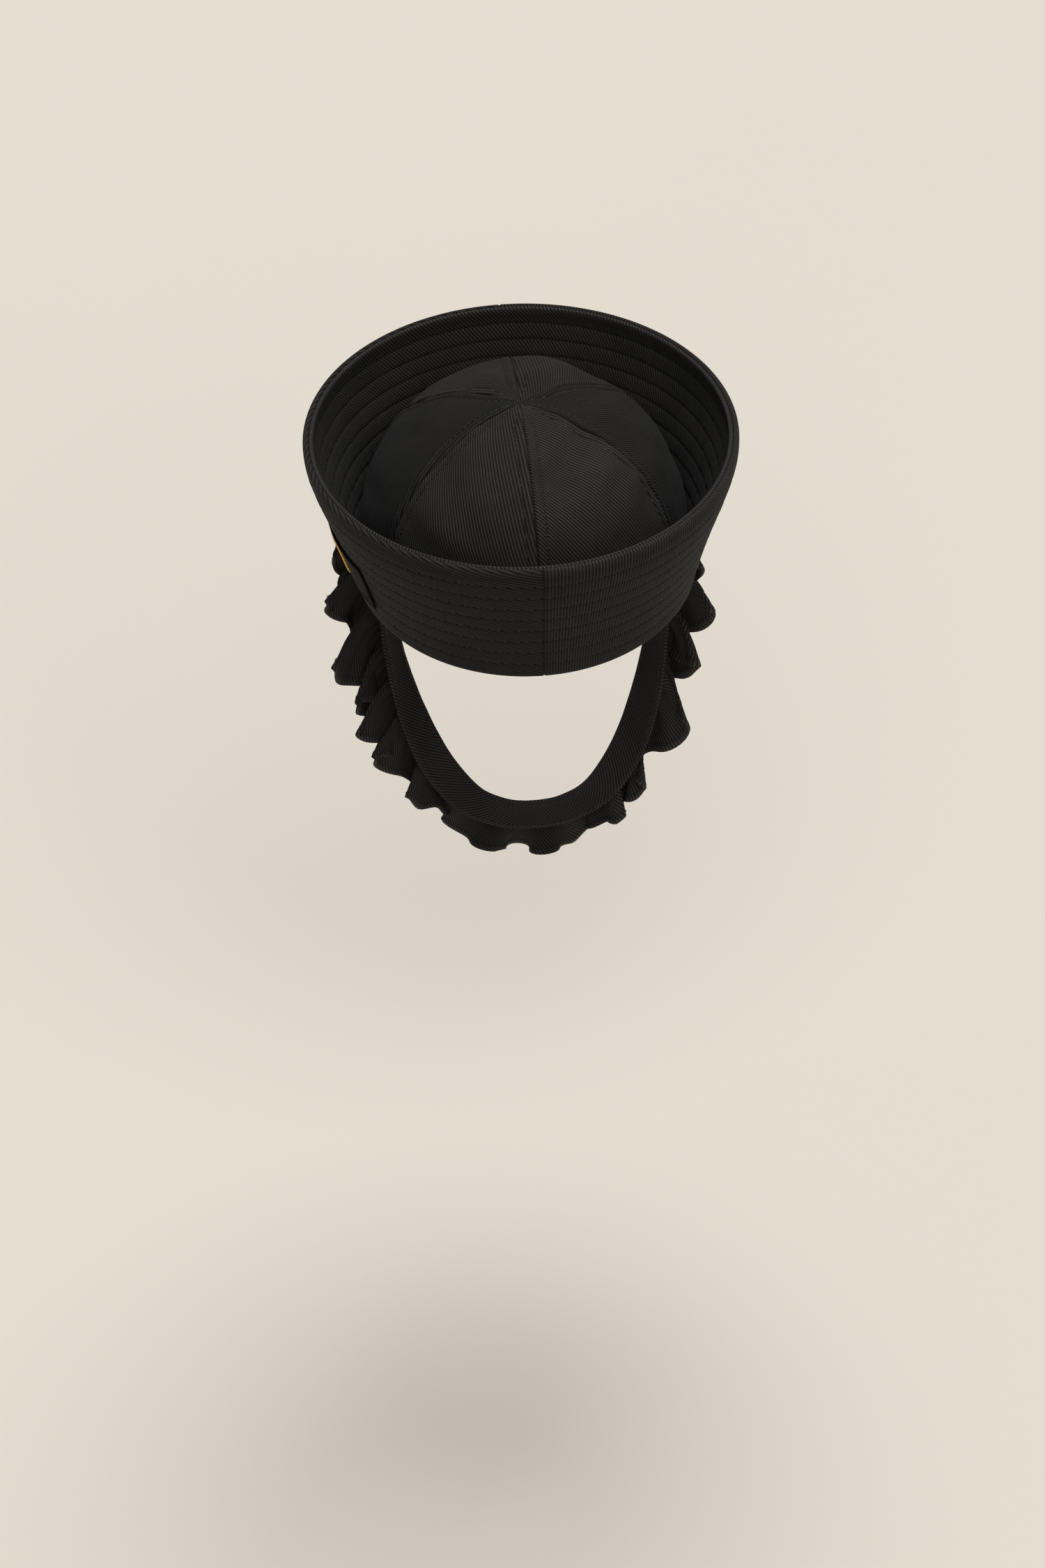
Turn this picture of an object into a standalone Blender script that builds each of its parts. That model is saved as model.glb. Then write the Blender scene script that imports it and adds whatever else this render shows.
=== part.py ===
"""Sailor cap of black twill with a turned-up brim and a ruffled chin strap.

The cap stands in its own frame: +Z is up the crown, the front faces -Y, and the origin is the
middle of the opening at the lower edge, where the head goes in. Left and right are the wearer's,
so the wearer's right is at -X. Everything is cloth, made as open sheets with a Solidify modifier.
"""
import math

import bpy
from mathutils import Vector

# Cloth, in metres
TWILL = 0.0012               # one layer of the twill
GAP = 0.0003                 # space kept between layers that touch
STRAP_CLOTH = 0.0020         # folded cloth of the strap's band
RUFFLE_CLOTH = 0.0016        # ruffle with its turned hem
PATCH_CLOTH = 0.0010         # label patch
BAR_CLOTH = 0.0008           # raised stitching on the patch

# Brim, measured to its outer face
LOWER_HALF_WIDTH = 0.0855
LOWER_HALF_LENGTH = 0.1025
RIM_HALF_WIDTH = 0.1070
RIM_HALF_LENGTH = 0.1240
BRIM_HEIGHT = 0.0770
LIP_PUFF = 0.0007            # how far the rolled lip stands proud on each face

# Crown
CROWN_HEIGHT = 0.0975
CROWN_SQUARENESS = 2.57      # power of the rounded dome, 2 is an ellipse
CROWN_LEAN = 0.0075          # how far the top lies in front of the middle
CROWN_TIP = 0.0012           # radius left where the six points meet
PANEL_PUFF = 0.0012          # how far each panel swells between its seams
DENT_DEPTH = 0.0030
PANELS = 6

# Chin strap, a loop that hangs behind the neck
LOOP_TUCK = 0.0115           # how far its ends reach up inside the crown
LOOP_DROP = 0.1630
LOOP_BACK = 0.0340           # how far behind the middle it leaves the cap
BAND_WIDTH = 0.0180
STRAP_EASE = 0.00015         # room for the band's edges, which bend a little less than the crown

# Ruffle on the strap
RUFFLE_WIDTH = 0.0400
FOLD_DEPTH = 0.0120          # how far an outer fold comes forward
RUFFLE_KNEE = 0.0110         # the cloth stands off the band this far before it falls

# Label on the outer brim at the wearer's right, turns in degrees from the front
PATCH_FRONT = -62.0
PATCH_LENGTH = 0.0780
PATCH_LOW = 0.0140           # height of its lower edge
PATCH_HEIGHT = 0.0270
BAR_LENGTH = 0.0150
BAR_HEIGHT = 0.0190

# Mesh steps
COLUMN_TURN = 7.5            # degrees between columns on crown and brim
CROWN_ROWS = 10
LEG_STEPS = 5                # columns from one fold tip to the next
RUFFLE_ROWS = 4
BAND_STEPS = 40
PATCH_STEPS = 8
PATCH_ROWS = 3
BAR_STEPS = 3
LOOP_SAMPLES = 12            # points on the strap's line from one row of its path to the next
LOOP_REACH = 0.006           # share of the loop looked at each way for its direction

# Brim from its lower edge up: rise in shares of the height, flare in shares of the spread from
# the lower edge to the rim, puff in shares of the lip's puff. The first row of stitches makes
# the groove under the lip.
BRIM_PROFILE = (
    # rise, flare, puff
    (0.10, 0.08, 0.0),
    (0.30, 0.28, 0.0),
    (0.52, 0.54, 0.0),
    (0.72, 0.80, 0.0),
    (0.86, 0.96, 0.0),
    (0.90, 0.99, 0.8),
    (0.95, 1.01, 1.0),
)

# Slack places of the crown: turn and climb in degrees, spread in degrees, depth in shares of
# DENT_DEPTH, and a negative depth is a swelling.
CROWN_DENTS = (
    # turn, climb, spread, depth
    (24, 64, 13, 0.9),
    (38, 40, 16, -0.5),
    (-30, 52, 15, 0.7),
    (-48, 30, 14, -0.6),
    (-86, 48, 16, 0.6),
    (88, 54, 15, 0.8),
    (138, 44, 17, 0.6),
    (-150, 50, 18, 0.7),
    (176, 66, 14, -0.4),
)

# Strap from the cap down to the nape: drop in shares of LOOP_DROP, spread in shares of the
# loop's half width, back in shares of LOOP_BACK.
LOOP_PATH = (
    # drop, spread, back
    (0.00, 1.00, 1.00),
    (0.20, 0.98, 0.92),
    (0.38, 0.94, 0.78),
    (0.52, 0.89, 0.66),
    (0.66, 0.81, 0.50),
    (0.78, 0.71, 0.36),
    (0.88, 0.58, 0.24),
    (0.95, 0.43, 0.14),
    (0.99, 0.22, 0.06),
    (1.00, 0.00, 0.03),
)

# Tips of the folds, outer and inner by turns. Root is the share of the half loop where the fold
# is gathered, reach and fall are shares of RUFFLE_WIDTH outward and down, and fore is a share
# of FOLD_DEPTH.
RIGHT_FOLDS = (
    # root, reach, fall, fore
    (0.070, 0.44, 0.12, -0.2),
    (0.085, 0.54, 0.16, 0.2),
    (0.110, 0.42, 0.50, -0.4),
    (0.145, 0.68, 0.42, 0.8),
    (0.200, 0.40, 0.76, -0.2),
    (0.270, 0.70, 0.66, 1.2),
    (0.330, 0.24, 0.84, 0.2),
    (0.375, 0.52, 0.60, 1.1),
    (0.430, 0.30, 0.82, 0.1),
    (0.465, 0.60, 0.46, 1.1),
    (0.520, 0.20, 0.70, 0.1),
    (0.565, 0.56, 0.34, 0.9),
    (0.640, 0.16, 0.64, 0.0),
    (0.690, 0.38, 0.34, 0.8),
    (0.760, 0.12, 0.44, 0.0),
)
LEFT_FOLDS = (
    # root, reach, fall, fore
    (0.070, 0.26, 0.44, -0.2),
    (0.105, 0.42, 0.66, 0.3),
    (0.145, 0.32, 0.86, -0.4),
    (0.190, 0.62, 0.78, 0.8),
    (0.265, 0.12, 0.96, 0.0),
    (0.320, 0.42, 0.76, 1.0),
    (0.400, 0.00, 0.92, 0.0),
    (0.500, 0.42, 0.72, 1.0),
    (0.610, -0.10, 0.86, -0.1),
    (0.680, 0.12, 0.66, 0.7),
    (0.745, 0.00, 0.76, -0.1),
    (0.790, 0.22, 0.50, 0.4),
    (0.840, 0.10, 0.50, 0.0),
)
NAPE_FOLDS = 3               # hidden folds behind the neck, all alike
NAPE_OUTER = (0.46, 0.30, -0.9)
NAPE_INNER = (0.30, 0.42, 0.0)

# What follows from the sizes above
BRIM_SLANT = math.hypot(BRIM_HEIGHT, RIM_HALF_WIDTH - LOWER_HALF_WIDTH) / BRIM_HEIGHT
LAYER_STEP = (TWILL + GAP) * BRIM_SLANT
CROWN_FOOT = TWILL + GAP
CROWN_INSET = TWILL / 2 + 2 * LAYER_STEP
CROWN_HALF_WIDTH = LOWER_HALF_WIDTH - CROWN_INSET
CROWN_HALF_LENGTH = LOWER_HALF_LENGTH - CROWN_INSET
LIP_MIDDLE = (TWILL + LAYER_STEP) / 2
COLUMN_SAG = LOWER_HALF_LENGTH * (1 - math.cos(math.radians(COLUMN_TURN / 2)))
INSIDE_HALF_WIDTH = CROWN_HALF_WIDTH - TWILL / 2
INSIDE_HALF_LENGTH = CROWN_HALF_LENGTH - TWILL / 2
LOOP_WALL = INSIDE_HALF_WIDTH * math.sqrt(1 - (LOOP_BACK / INSIDE_HALF_LENGTH) ** 2)
LOOP_TURN = math.atan2(LOOP_BACK / INSIDE_HALF_LENGTH ** 2, LOOP_WALL / INSIDE_HALF_WIDTH ** 2)
LOOP_SEAT = STRAP_CLOTH / 2 + GAP + STRAP_EASE + COLUMN_SAG
LOOP_HALF_WIDTH = LOOP_WALL - LOOP_SEAT / math.cos(LOOP_TURN)


def oval(half_width, half_length, turn):
    """Point of an oval, turned in degrees from the front towards the wearer's left."""
    angle = math.radians(turn)
    return Vector((half_width * math.sin(angle), -half_length * math.cos(angle), 0))


def curve_through(rows, place):
    """Smooth value at a place counted in rows, by a Catmull-Rom curve through all the rows."""
    step = min(int(place), len(rows) - 2)
    part = place - step
    here, after = Vector(rows[step]), Vector(rows[step + 1])
    before = Vector(rows[step - 1]) if step > 0 else 2 * here - after
    beyond = Vector(rows[step + 2]) if step + 2 < len(rows) else 2 * after - here
    return 0.5 * (
        2 * here
        + (after - before) * part
        + (2 * before - 5 * here + 4 * after - beyond) * part ** 2
        + (3 * here - before - 3 * after + beyond) * part ** 3
    )


def material(name, colour, roughness):
    """Cloth material with a plain colour."""
    made = bpy.data.materials.new(name)
    made.use_nodes = True
    shader = made.node_tree.nodes["Principled BSDF"]
    shader.inputs["Base Color"].default_value = (*colour, 1)
    shader.inputs["Roughness"].default_value = roughness
    shader.inputs["Metallic"].default_value = 0
    return made


def sheet(name, rows, thickness, cloth, closed=False, even=True):
    """Cloth sheet through rows of points, given its thickness on both sides by Solidify."""
    across = len(rows[0])
    points = [point for row in rows for point in row]
    faces = []
    for i in range(len(rows) - 1):
        for j in range(across if closed else across - 1):
            k = (j + 1) % across
            faces.append((i * across + j, i * across + k, (i + 1) * across + k, (i + 1) * across + j))
    mesh = bpy.data.meshes.new(name)
    mesh.from_pydata(points, [], faces)
    mesh.shade_smooth()
    mesh.materials.append(cloth)
    piece = bpy.data.objects.new(name, mesh)
    bpy.data.collections["sailor_cap"].objects.link(piece)
    wall = piece.modifiers.new("Thickness", "SOLIDIFY")
    wall.thickness = thickness
    wall.offset = 0
    wall.use_even_offset = even
    wall.use_rim = True
    return piece


def seam_turns(first, last, radius):
    """Columns from one seam to the next, half a gap short of each."""
    back_off = math.degrees(GAP / 2 / radius)
    count = round((last - first) / COLUMN_TURN)
    start, end = first + back_off, last - back_off
    return [start + (end - start) * k / count for k in range(count + 1)]


def brim_size(rise, flare, inset):
    """Half width, half length and height of the brim, some way in from its outer face."""
    half_width = LOWER_HALF_WIDTH + (RIM_HALF_WIDTH - LOWER_HALF_WIDTH) * flare - inset
    half_length = LOWER_HALF_LENGTH + (RIM_HALF_LENGTH - LOWER_HALF_LENGTH) * flare - inset
    return half_width, half_length, BRIM_HEIGHT * rise


def flare_at(rise):
    """Flare of the brim at a rise, read from its profile."""
    low_rise, low_flare = 0, 0
    for high_rise, high_flare, puff in BRIM_PROFILE:
        if rise <= high_rise:
            part = (rise - low_rise) / (high_rise - low_rise)
            return low_flare + (high_flare - low_flare) * part
        low_rise, low_flare = high_rise, high_flare
    return 1


def outer_profile():
    """Sections of the outer layer, from under the crown's foot, up the wall and over the lip."""
    half_ply = TWILL / 2
    level = half_ply / BRIM_HEIGHT
    sections = [brim_size(level, 0, CROWN_INSET + half_ply), brim_size(level, 0, half_ply + GAP)]
    sections.append(brim_size(2.5 * level, flare_at(2.5 * level), half_ply))
    for rise, flare, puff in BRIM_PROFILE:
        sections.append(brim_size(rise, flare, half_ply - puff * LIP_PUFF))
    sections.append(brim_size(1 - 2 * level, 1, half_ply - LIP_PUFF / 2))
    sections.append(brim_size(1 - level, 1, half_ply))
    sections.append(brim_size(1 - level, 1, LIP_MIDDLE - GAP / 2))
    return sections


def inner_profile():
    """Sections of the inner layer, from above the outer layer's foot up to the lip."""
    inset = TWILL / 2 + LAYER_STEP
    level = TWILL / 2 / BRIM_HEIGHT
    foot = CROWN_FOOT / BRIM_HEIGHT
    sections = [brim_size(foot, flare_at(foot), inset)]
    for rise, flare, puff in BRIM_PROFILE:
        sections.append(brim_size(rise, flare, inset + puff * LIP_PUFF))
    sections.append(brim_size(1 - 2 * level, 1, inset + LIP_PUFF / 2))
    sections.append(brim_size(1 - level, 1, inset))
    sections.append(brim_size(1 - level, 1, LIP_MIDDLE + GAP / 2))
    return sections


def make_brim(cloth):
    """Outer layer in two halves seamed at front and back, and the inner layer as one ring."""
    for side, first, last in (("left", 0, 180), ("right", 180, 360)):
        rows = []
        for half_width, half_length, height in outer_profile():
            turns = seam_turns(first, last, half_width)
            rows.append([oval(half_width, half_length, turn) + Vector((0, 0, height)) for turn in turns])
        sheet("brim_outer_" + side, rows, TWILL, cloth)
    rows = []
    columns = round(360 / COLUMN_TURN)
    for half_width, half_length, height in inner_profile():
        turns = [COLUMN_TURN * k for k in range(columns)]
        rows.append([oval(half_width, half_length, turn) + Vector((0, 0, height)) for turn in turns])
    sheet("brim_inner", rows, TWILL, cloth, closed=True)


def crown_point(turn, climb, swell):
    """Point of the crown at a turn and a climb in degrees, swollen between seams by a share."""
    lift = math.radians(climb)
    power = 2 / CROWN_SQUARENESS
    spread = math.cos(lift) ** power
    rise = math.sin(lift) ** power
    push = PANEL_PUFF * swell * math.sin(2 * lift)
    for dent_turn, dent_climb, dent_spread, depth in CROWN_DENTS:
        around = (turn - dent_turn + 180) % 360 - 180
        off = math.hypot(around * math.cos(lift), climb - dent_climb) / dent_spread
        push -= DENT_DEPTH * depth * math.exp(-off * off)
    point = oval(CROWN_HALF_WIDTH * spread, CROWN_HALF_LENGTH * spread, turn)
    outward = oval(math.cos(lift), math.cos(lift), turn) + Vector((0, 0, math.sin(lift)))
    point.y -= CROWN_LEAN * rise ** 2
    point.z = CROWN_FOOT + (CROWN_HEIGHT - TWILL / 2 - CROWN_FOOT) * rise
    return point + outward * push


def make_crown(cloth):
    """Six panels that come to a point each."""
    names = ("front_left", "side_left", "back_left", "back_right", "side_right", "front_right")
    tip_spread = CROWN_TIP / CROWN_HALF_WIDTH
    last_climb = math.degrees(math.acos(tip_spread ** (CROWN_SQUARENESS / 2)))
    panel_turn = 360 / PANELS
    for panel in range(PANELS):
        first = panel * panel_turn
        rows = []
        for i in range(CROWN_ROWS + 1):
            climb = last_climb * i / CROWN_ROWS
            radius = CROWN_HALF_WIDTH * math.cos(math.radians(climb)) ** (2 / CROWN_SQUARENESS)
            turns = seam_turns(first, first + panel_turn, radius)
            swells = [math.sin(math.pi * k / (len(turns) - 1)) for k in range(len(turns))]
            rows.append([crown_point(turn, climb, swell) for turn, swell in zip(turns, swells)])
        sheet("crown_" + names[panel], rows, TWILL, cloth)


def make_label(black, yellow):
    """Patch and its raised bar, laid on the outer brim at the wearer's right."""
    middle_rise = (PATCH_LOW + PATCH_HEIGHT / 2) / BRIM_HEIGHT
    side_radius = brim_size(middle_rise, flare_at(middle_rise), 0)[1]
    degrees_per_metre = math.degrees(1 / side_radius)
    patch_turn = PATCH_LENGTH * degrees_per_metre
    middle_turn = PATCH_FRONT - patch_turn / 2

    def layer(name, length, tall, steps, thickness, stand_off, cloth):
        rows = []
        for i in range(PATCH_ROWS + 1):
            rise = middle_rise + tall * (i / PATCH_ROWS - 0.5) / BRIM_HEIGHT
            half_width, half_length, height = brim_size(rise, flare_at(rise), -stand_off * BRIM_SLANT)
            row = []
            for k in range(steps + 1):
                turn = middle_turn + length * degrees_per_metre * (k / steps - 0.5)
                row.append(oval(half_width, half_length, turn) + Vector((0, 0, height)))
            rows.append(row)
        sheet(name, rows, thickness, cloth)

    patch_face = GAP + PATCH_CLOTH
    layer("label_patch", PATCH_LENGTH, PATCH_HEIGHT, PATCH_STEPS, PATCH_CLOTH, GAP + PATCH_CLOTH / 2, black)
    layer("label_bar", BAR_LENGTH, BAR_HEIGHT, BAR_STEPS, BAR_CLOTH, patch_face + GAP + BAR_CLOTH / 2, yellow)


def loop_rows():
    """Rows of the strap's middle line, from inside the crown at the right round to the left."""
    rows = [(-LOOP_HALF_WIDTH, LOOP_BACK, LOOP_TUCK)]
    for drop, spread, back in LOOP_PATH:
        rows.append((-LOOP_HALF_WIDTH * spread, LOOP_BACK * back, -LOOP_DROP * drop))
    return rows + [(-x, y, z) for x, y, z in reversed(rows[:-1])]


def strap_turn(drop):
    """Angle in radians from sideways to backward that the band faces, at a share of the drop."""
    return LOOP_TURN + (math.pi / 2 - LOOP_TURN) * min(max(drop, 0), 1) ** 2


class Loop:
    """The strap's middle line, measured along its length."""

    def __init__(self):
        rows = loop_rows()
        count = (len(rows) - 1) * LOOP_SAMPLES
        self.points = [curve_through(rows, (len(rows) - 1) * k / count) for k in range(count + 1)]
        self.lengths = [0.0]
        for a, b in zip(self.points, self.points[1:]):
            self.lengths.append(self.lengths[-1] + (b - a).length)

    def point(self, share):
        """Point at a share of the whole loop."""
        wanted = self.lengths[-1] * min(max(share, 0), 1)
        low, high = 0, len(self.lengths) - 1
        while high - low > 1:
            middle = (low + high) // 2
            if self.lengths[middle] <= wanted:
                low = middle
            else:
                high = middle
        part = (wanted - self.lengths[low]) / (self.lengths[high] - self.lengths[low])
        return self.points[low].lerp(self.points[high], part)

    def along(self, share):
        """Direction of the strap at a share of the loop."""
        return (self.point(share + LOOP_REACH) - self.point(share - LOOP_REACH)).normalized()

    def outward(self, share):
        """Direction away from the middle of the loop, square to the strap."""
        along = self.along(share)
        return Vector((along.z, 0, -along.x)).normalized()

    def facing(self, share):
        """Direction that the band's outer face looks, square to the strap."""
        point = self.point(share)
        turn = strap_turn(-point.z / LOOP_DROP)
        side = math.cos(turn) * (-1 if share < 0.5 else 1)
        along = self.along(share)
        face = Vector((side, math.sin(turn), 0))
        return (face - along * face.dot(along)).normalized()


def make_band(loop, cloth):
    """Band of the strap, bent a little across its width to lie against the head."""
    rows = []
    for across in (-1, 0, 1):
        row = []
        for k in range(BAND_STEPS + 1):
            share = k / BAND_STEPS
            face = loop.facing(share)
            sideways = loop.along(share).cross(face)
            bend = -(across * BAND_WIDTH / 2) ** 2 / (2 * LOWER_HALF_LENGTH)
            row.append(loop.point(share) + sideways * across * BAND_WIDTH / 2 + face * bend)
        rows.append(row)
    sheet("chin_strap", rows, STRAP_CLOTH, cloth)


def fold_rows():
    """All fold tips along the whole loop, as root, reach, fall and fore."""
    rows = [(root / 2, reach, fall, fore) for root, reach, fall, fore in RIGHT_FOLDS]
    start = RIGHT_FOLDS[-1][0] / 2
    end = 1 - LEFT_FOLDS[-1][0] / 2
    legs = 2 * NAPE_FOLDS
    for k in range(1, legs):
        tip = NAPE_OUTER if k % 2 else NAPE_INNER
        rows.append((start + (end - start) * k / legs, *tip))
    for root, reach, fall, fore in reversed(LEFT_FOLDS):
        rows.append((1 - root / 2, reach, fall, fore))
    return rows


def make_ruffle(loop, cloth):
    """Gathered ruffle: every column leaves the band, bends over a knee and falls to its edge."""
    tips = fold_rows()
    columns = (len(tips) - 1) * LEG_STEPS
    rows = [[] for _ in range(RUFFLE_ROWS + 1)]
    for k in range(columns + 1):
        root, reach, fall, fore = curve_through(tips, k / LEG_STEPS)
        face = loop.facing(root)
        outward = loop.outward(root)
        gathered = loop.point(root) + face * (STRAP_CLOTH / 2 + GAP + RUFFLE_CLOTH / 2)
        knee = gathered + (face + outward).normalized() * RUFFLE_KNEE
        edge = gathered + outward * reach * RUFFLE_WIDTH
        edge += Vector((0, -fore * FOLD_DEPTH, -fall * RUFFLE_WIDTH))
        for i, row in enumerate(rows):
            part = i / RUFFLE_ROWS
            row.append(gathered.lerp(knee, part).lerp(knee.lerp(edge, part), part))
    sheet("strap_ruffle", rows, RUFFLE_CLOTH, cloth, even=False)


def main():
    """Clear the scene and make the cap."""
    for old in list(bpy.data.objects):
        bpy.data.objects.remove(old, do_unlink=True)
    parts = bpy.data.collections.new("sailor_cap")
    bpy.context.scene.collection.children.link(parts)
    twill = material("black_twill", (0.013, 0.012, 0.011), 0.85)
    patch = material("label_patch_cloth", (0.008, 0.008, 0.008), 0.8)
    thread = material("yellow_thread", (0.68, 0.38, 0.02), 0.5)
    make_crown(twill)
    make_brim(twill)
    make_label(patch, thread)
    loop = Loop()
    make_band(loop, twill)
    make_ruffle(loop, twill)


main()
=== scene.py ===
"""Looks of a black twill sailor cap with a turned-up brim and a ruffled chin strap.

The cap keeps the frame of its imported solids: +Z is up the crown, the front faces -Y and the
origin is the middle of the opening. Left and right are the wearer's, so the right is at -X.
Every cloth piece is a grid of points on a curved sheet. Its flat cutting coordinates, in
millimetres, are its UV map, so the twill runs as the piece was cut.
"""
import math

import bpy
import numpy as np
from bpy.props import FloatProperty, FloatVectorProperty, IntProperty, PointerProperty
from mathutils import Matrix, Vector


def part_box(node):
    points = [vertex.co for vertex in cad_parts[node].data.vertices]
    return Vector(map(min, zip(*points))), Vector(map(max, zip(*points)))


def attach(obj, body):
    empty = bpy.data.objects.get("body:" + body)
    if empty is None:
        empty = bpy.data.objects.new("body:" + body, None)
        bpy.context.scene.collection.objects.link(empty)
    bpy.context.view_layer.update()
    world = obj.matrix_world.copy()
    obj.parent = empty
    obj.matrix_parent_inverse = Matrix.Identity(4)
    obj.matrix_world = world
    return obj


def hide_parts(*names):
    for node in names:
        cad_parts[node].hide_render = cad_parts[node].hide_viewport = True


bl_info = {
    "name": "Sailor Cap",
    "version": (1, 0, 0),
    "blender": (4, 5, 0),
    "location": "3D View > Sidebar > Sailor Cap",
    "description": "Twill crown, stitched brim, label, chin strap and ruffle of a sailor cap",
    "category": "Add Mesh",
}

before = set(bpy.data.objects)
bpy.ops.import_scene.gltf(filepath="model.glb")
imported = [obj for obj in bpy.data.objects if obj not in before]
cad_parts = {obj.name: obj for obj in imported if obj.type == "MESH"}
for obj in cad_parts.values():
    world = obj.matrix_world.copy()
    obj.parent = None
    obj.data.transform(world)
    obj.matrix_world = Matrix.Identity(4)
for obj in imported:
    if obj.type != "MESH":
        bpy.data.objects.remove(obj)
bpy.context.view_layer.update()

# Cloth and gaps as the solids have them, in metres
TWILL = 0.0012
GAP = 0.0003
STRAP_CLOTH = 0.0020
RUFFLE_CLOTH = 0.0016
ROOT_GAP = 0.0001            # the ruffle's root is sewn down this close to the band
PATCH_CLOTH = 0.0010
THIN_SHARE = 0.60            # cloth beside a turned hem, as a share of the hem's thickness

# Brim, its main sizes read from the frame
LIP_PROUD = 0.00095          # the lip stands outside the rim's own line this far
BRIM_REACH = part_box("brim_outer_left")[1]
RIM_HALF_WIDTH = BRIM_REACH.x - LIP_PROUD
RIM_HALF_LENGTH = BRIM_REACH.y - LIP_PROUD
BRIM_HEIGHT = BRIM_REACH.z
BRIM_SPREAD = 0.0215         # the rim lies outside the lower edge this far
BRIM_STEP = 0.0012           # from one row of points to the next
STITCH_CLEAR = 0.0007        # half the strip beside a row of stitches that has rows of its own
BRIM_CLEAR = (0.0035, 0.0022)       # strips under the lip and over the foot that have none
LOWER_HALF_WIDTH = RIM_HALF_WIDTH - BRIM_SPREAD
LOWER_HALF_LENGTH = RIM_HALF_LENGTH - BRIM_SPREAD
BRIM_SLANT = math.hypot(BRIM_HEIGHT, BRIM_SPREAD) / BRIM_HEIGHT
LAYER_STEP = (TWILL + GAP) * BRIM_SLANT
BRIM_LAYERS = (
    # name, first and last turn, way of the ribs, columns, painted light (share by which the layer's colour
    # is painted darker for how the light falls on it); the inner layer is a whole ring
    ("brim_outer_left", 0, 180, 90, 150, 0.74),
    ("brim_outer_right", 180, 360, -15, 150, 0.60),
    ("brim_inner", 0, 360, 55, 300, 0.95),
)
INNER_QUILT = 3.2            # the inner layer swells this many times as far as the outer one
BRIM_LINE = (
    # rise, flare, in shares of the height and the spread
    (0.00, 0.00),
    (0.10, 0.08),
    (0.30, 0.28),
    (0.52, 0.54),
    (0.72, 0.80),
    (0.86, 0.96),
    (0.95, 1.00),
    (1.00, 1.00),
)

# Crown
CROWN_FOOT = TWILL + GAP
CROWN_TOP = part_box("crown_front_left")[1].z - TWILL / 2
CROWN_INSET = TWILL / 2 + 2 * LAYER_STEP
CROWN_HALF_WIDTH = LOWER_HALF_WIDTH - CROWN_INSET
CROWN_HALF_LENGTH = LOWER_HALF_LENGTH - CROWN_INSET
CROWN_SQUARENESS = 2.57      # 2 would be an ellipse from the side
CROWN_LEAN = 0.0075          # the point lies this far in front of the middle
PANEL_PUFF = 0.0012          # each panel swells out this far between its seams
DENT_DEPTH = 0.0030          # depth of a dent of depth 1
SEAM_WIDTH = 0.0007          # from the middle of a seam's valley to its edge
CROWN_WAVES = (
    # depth and length of the soft waves in the cloth
    (0.00070, 0.034),
    (0.00022, 0.016),
)
CROWN_ROWS = 96              # rows of points up a panel
CROWN_ENDS = slice(2, -2)    # rows of points that carry stitches
STITCH_COLUMN = 7            # where seam_steps has the row of stitches
PANEL_TURN = 60              # degrees that one panel takes
PANELS = (
    # name, painted light (share that paints the panel's colour lighter or darker for how the light falls
    # on it); in the order of the turn
    ("front_left", 1.10),
    ("side_left", 0.62),
    ("back_left", 0.85),
    ("back_right", 0.85),
    ("side_right", 0.56),
    ("front_right", 0.98),
)
CROWN_DENTS = (
    # turn, climb, spread, depth
    (24, 64, 13, 0.9),
    (38, 40, 16, -0.5),
    (-30, 52, 15, 0.7),
    (-48, 30, 14, -0.6),
    (-86, 48, 16, 0.6),
    (88, 54, 15, 0.8),
    (138, 44, 17, 0.6),
    (-150, 50, 18, 0.7),
    (176, 66, 14, -0.4),
)
CROWN_CREASES = (
    # from turn and climb, to turn and climb, spread, depth in millimetres
    (-52, 30, -14, 24, 4.5, 1.3),
    (-48, 38, -20, 34, 4.0, -0.9),
    (-40, 62, -12, 74, 4.0, 0.9),
    (16, 26, 44, 34, 5.0, 1.0),
    (12, 60, 40, 70, 4.5, 1.2),
    (30, 48, 54, 58, 4.0, -0.8),
    (64, 50, 80, 72, 4.5, 0.9),
    (70, 34, 110, 30, 5.0, 0.8),
    (112, 58, 96, 76, 4.0, 0.9),
    (150, 34, 130, 60, 5.0, 0.9),
    (170, 40, 196, 46, 4.5, 0.8),
    (208, 60, 232, 72, 4.0, 1.0),
    (216, 30, 244, 40, 5.0, 0.8),
    (262, 48, 284, 66, 4.5, 1.0),
    (290, 32, 268, 26, 4.0, 0.8),
)

# Chin strap and ruffle
BAND_WIDTH = 0.0180
BAND_STITCH = BAND_WIDTH / 2 - 0.0022       # from its middle to a row of stitches
# the strap's colour painted darker for how the light falls on it
BAND_PAINTED_LIGHT = 0.75
LOOP_TUCK = 0.0115           # its ends lie this far up inside the crown
LOOP_DROP = -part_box("chin_strap")[0].z - BAND_WIDTH / 2
LOOP_BACK = 0.0340           # its ends lie this far behind the middle
COLUMN_SAG = 0.00022         # the crown's solid is faceted, and its flats lie this far inside
STRAP_EASE = 0.00015         # room left between the strap and the crown besides
INSIDE_HALF_WIDTH = CROWN_HALF_WIDTH - TWILL / 2
INSIDE_HALF_LENGTH = CROWN_HALF_LENGTH - TWILL / 2
LOOP_WALL = INSIDE_HALF_WIDTH * math.sqrt(1 - (LOOP_BACK / INSIDE_HALF_LENGTH) ** 2)
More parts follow.
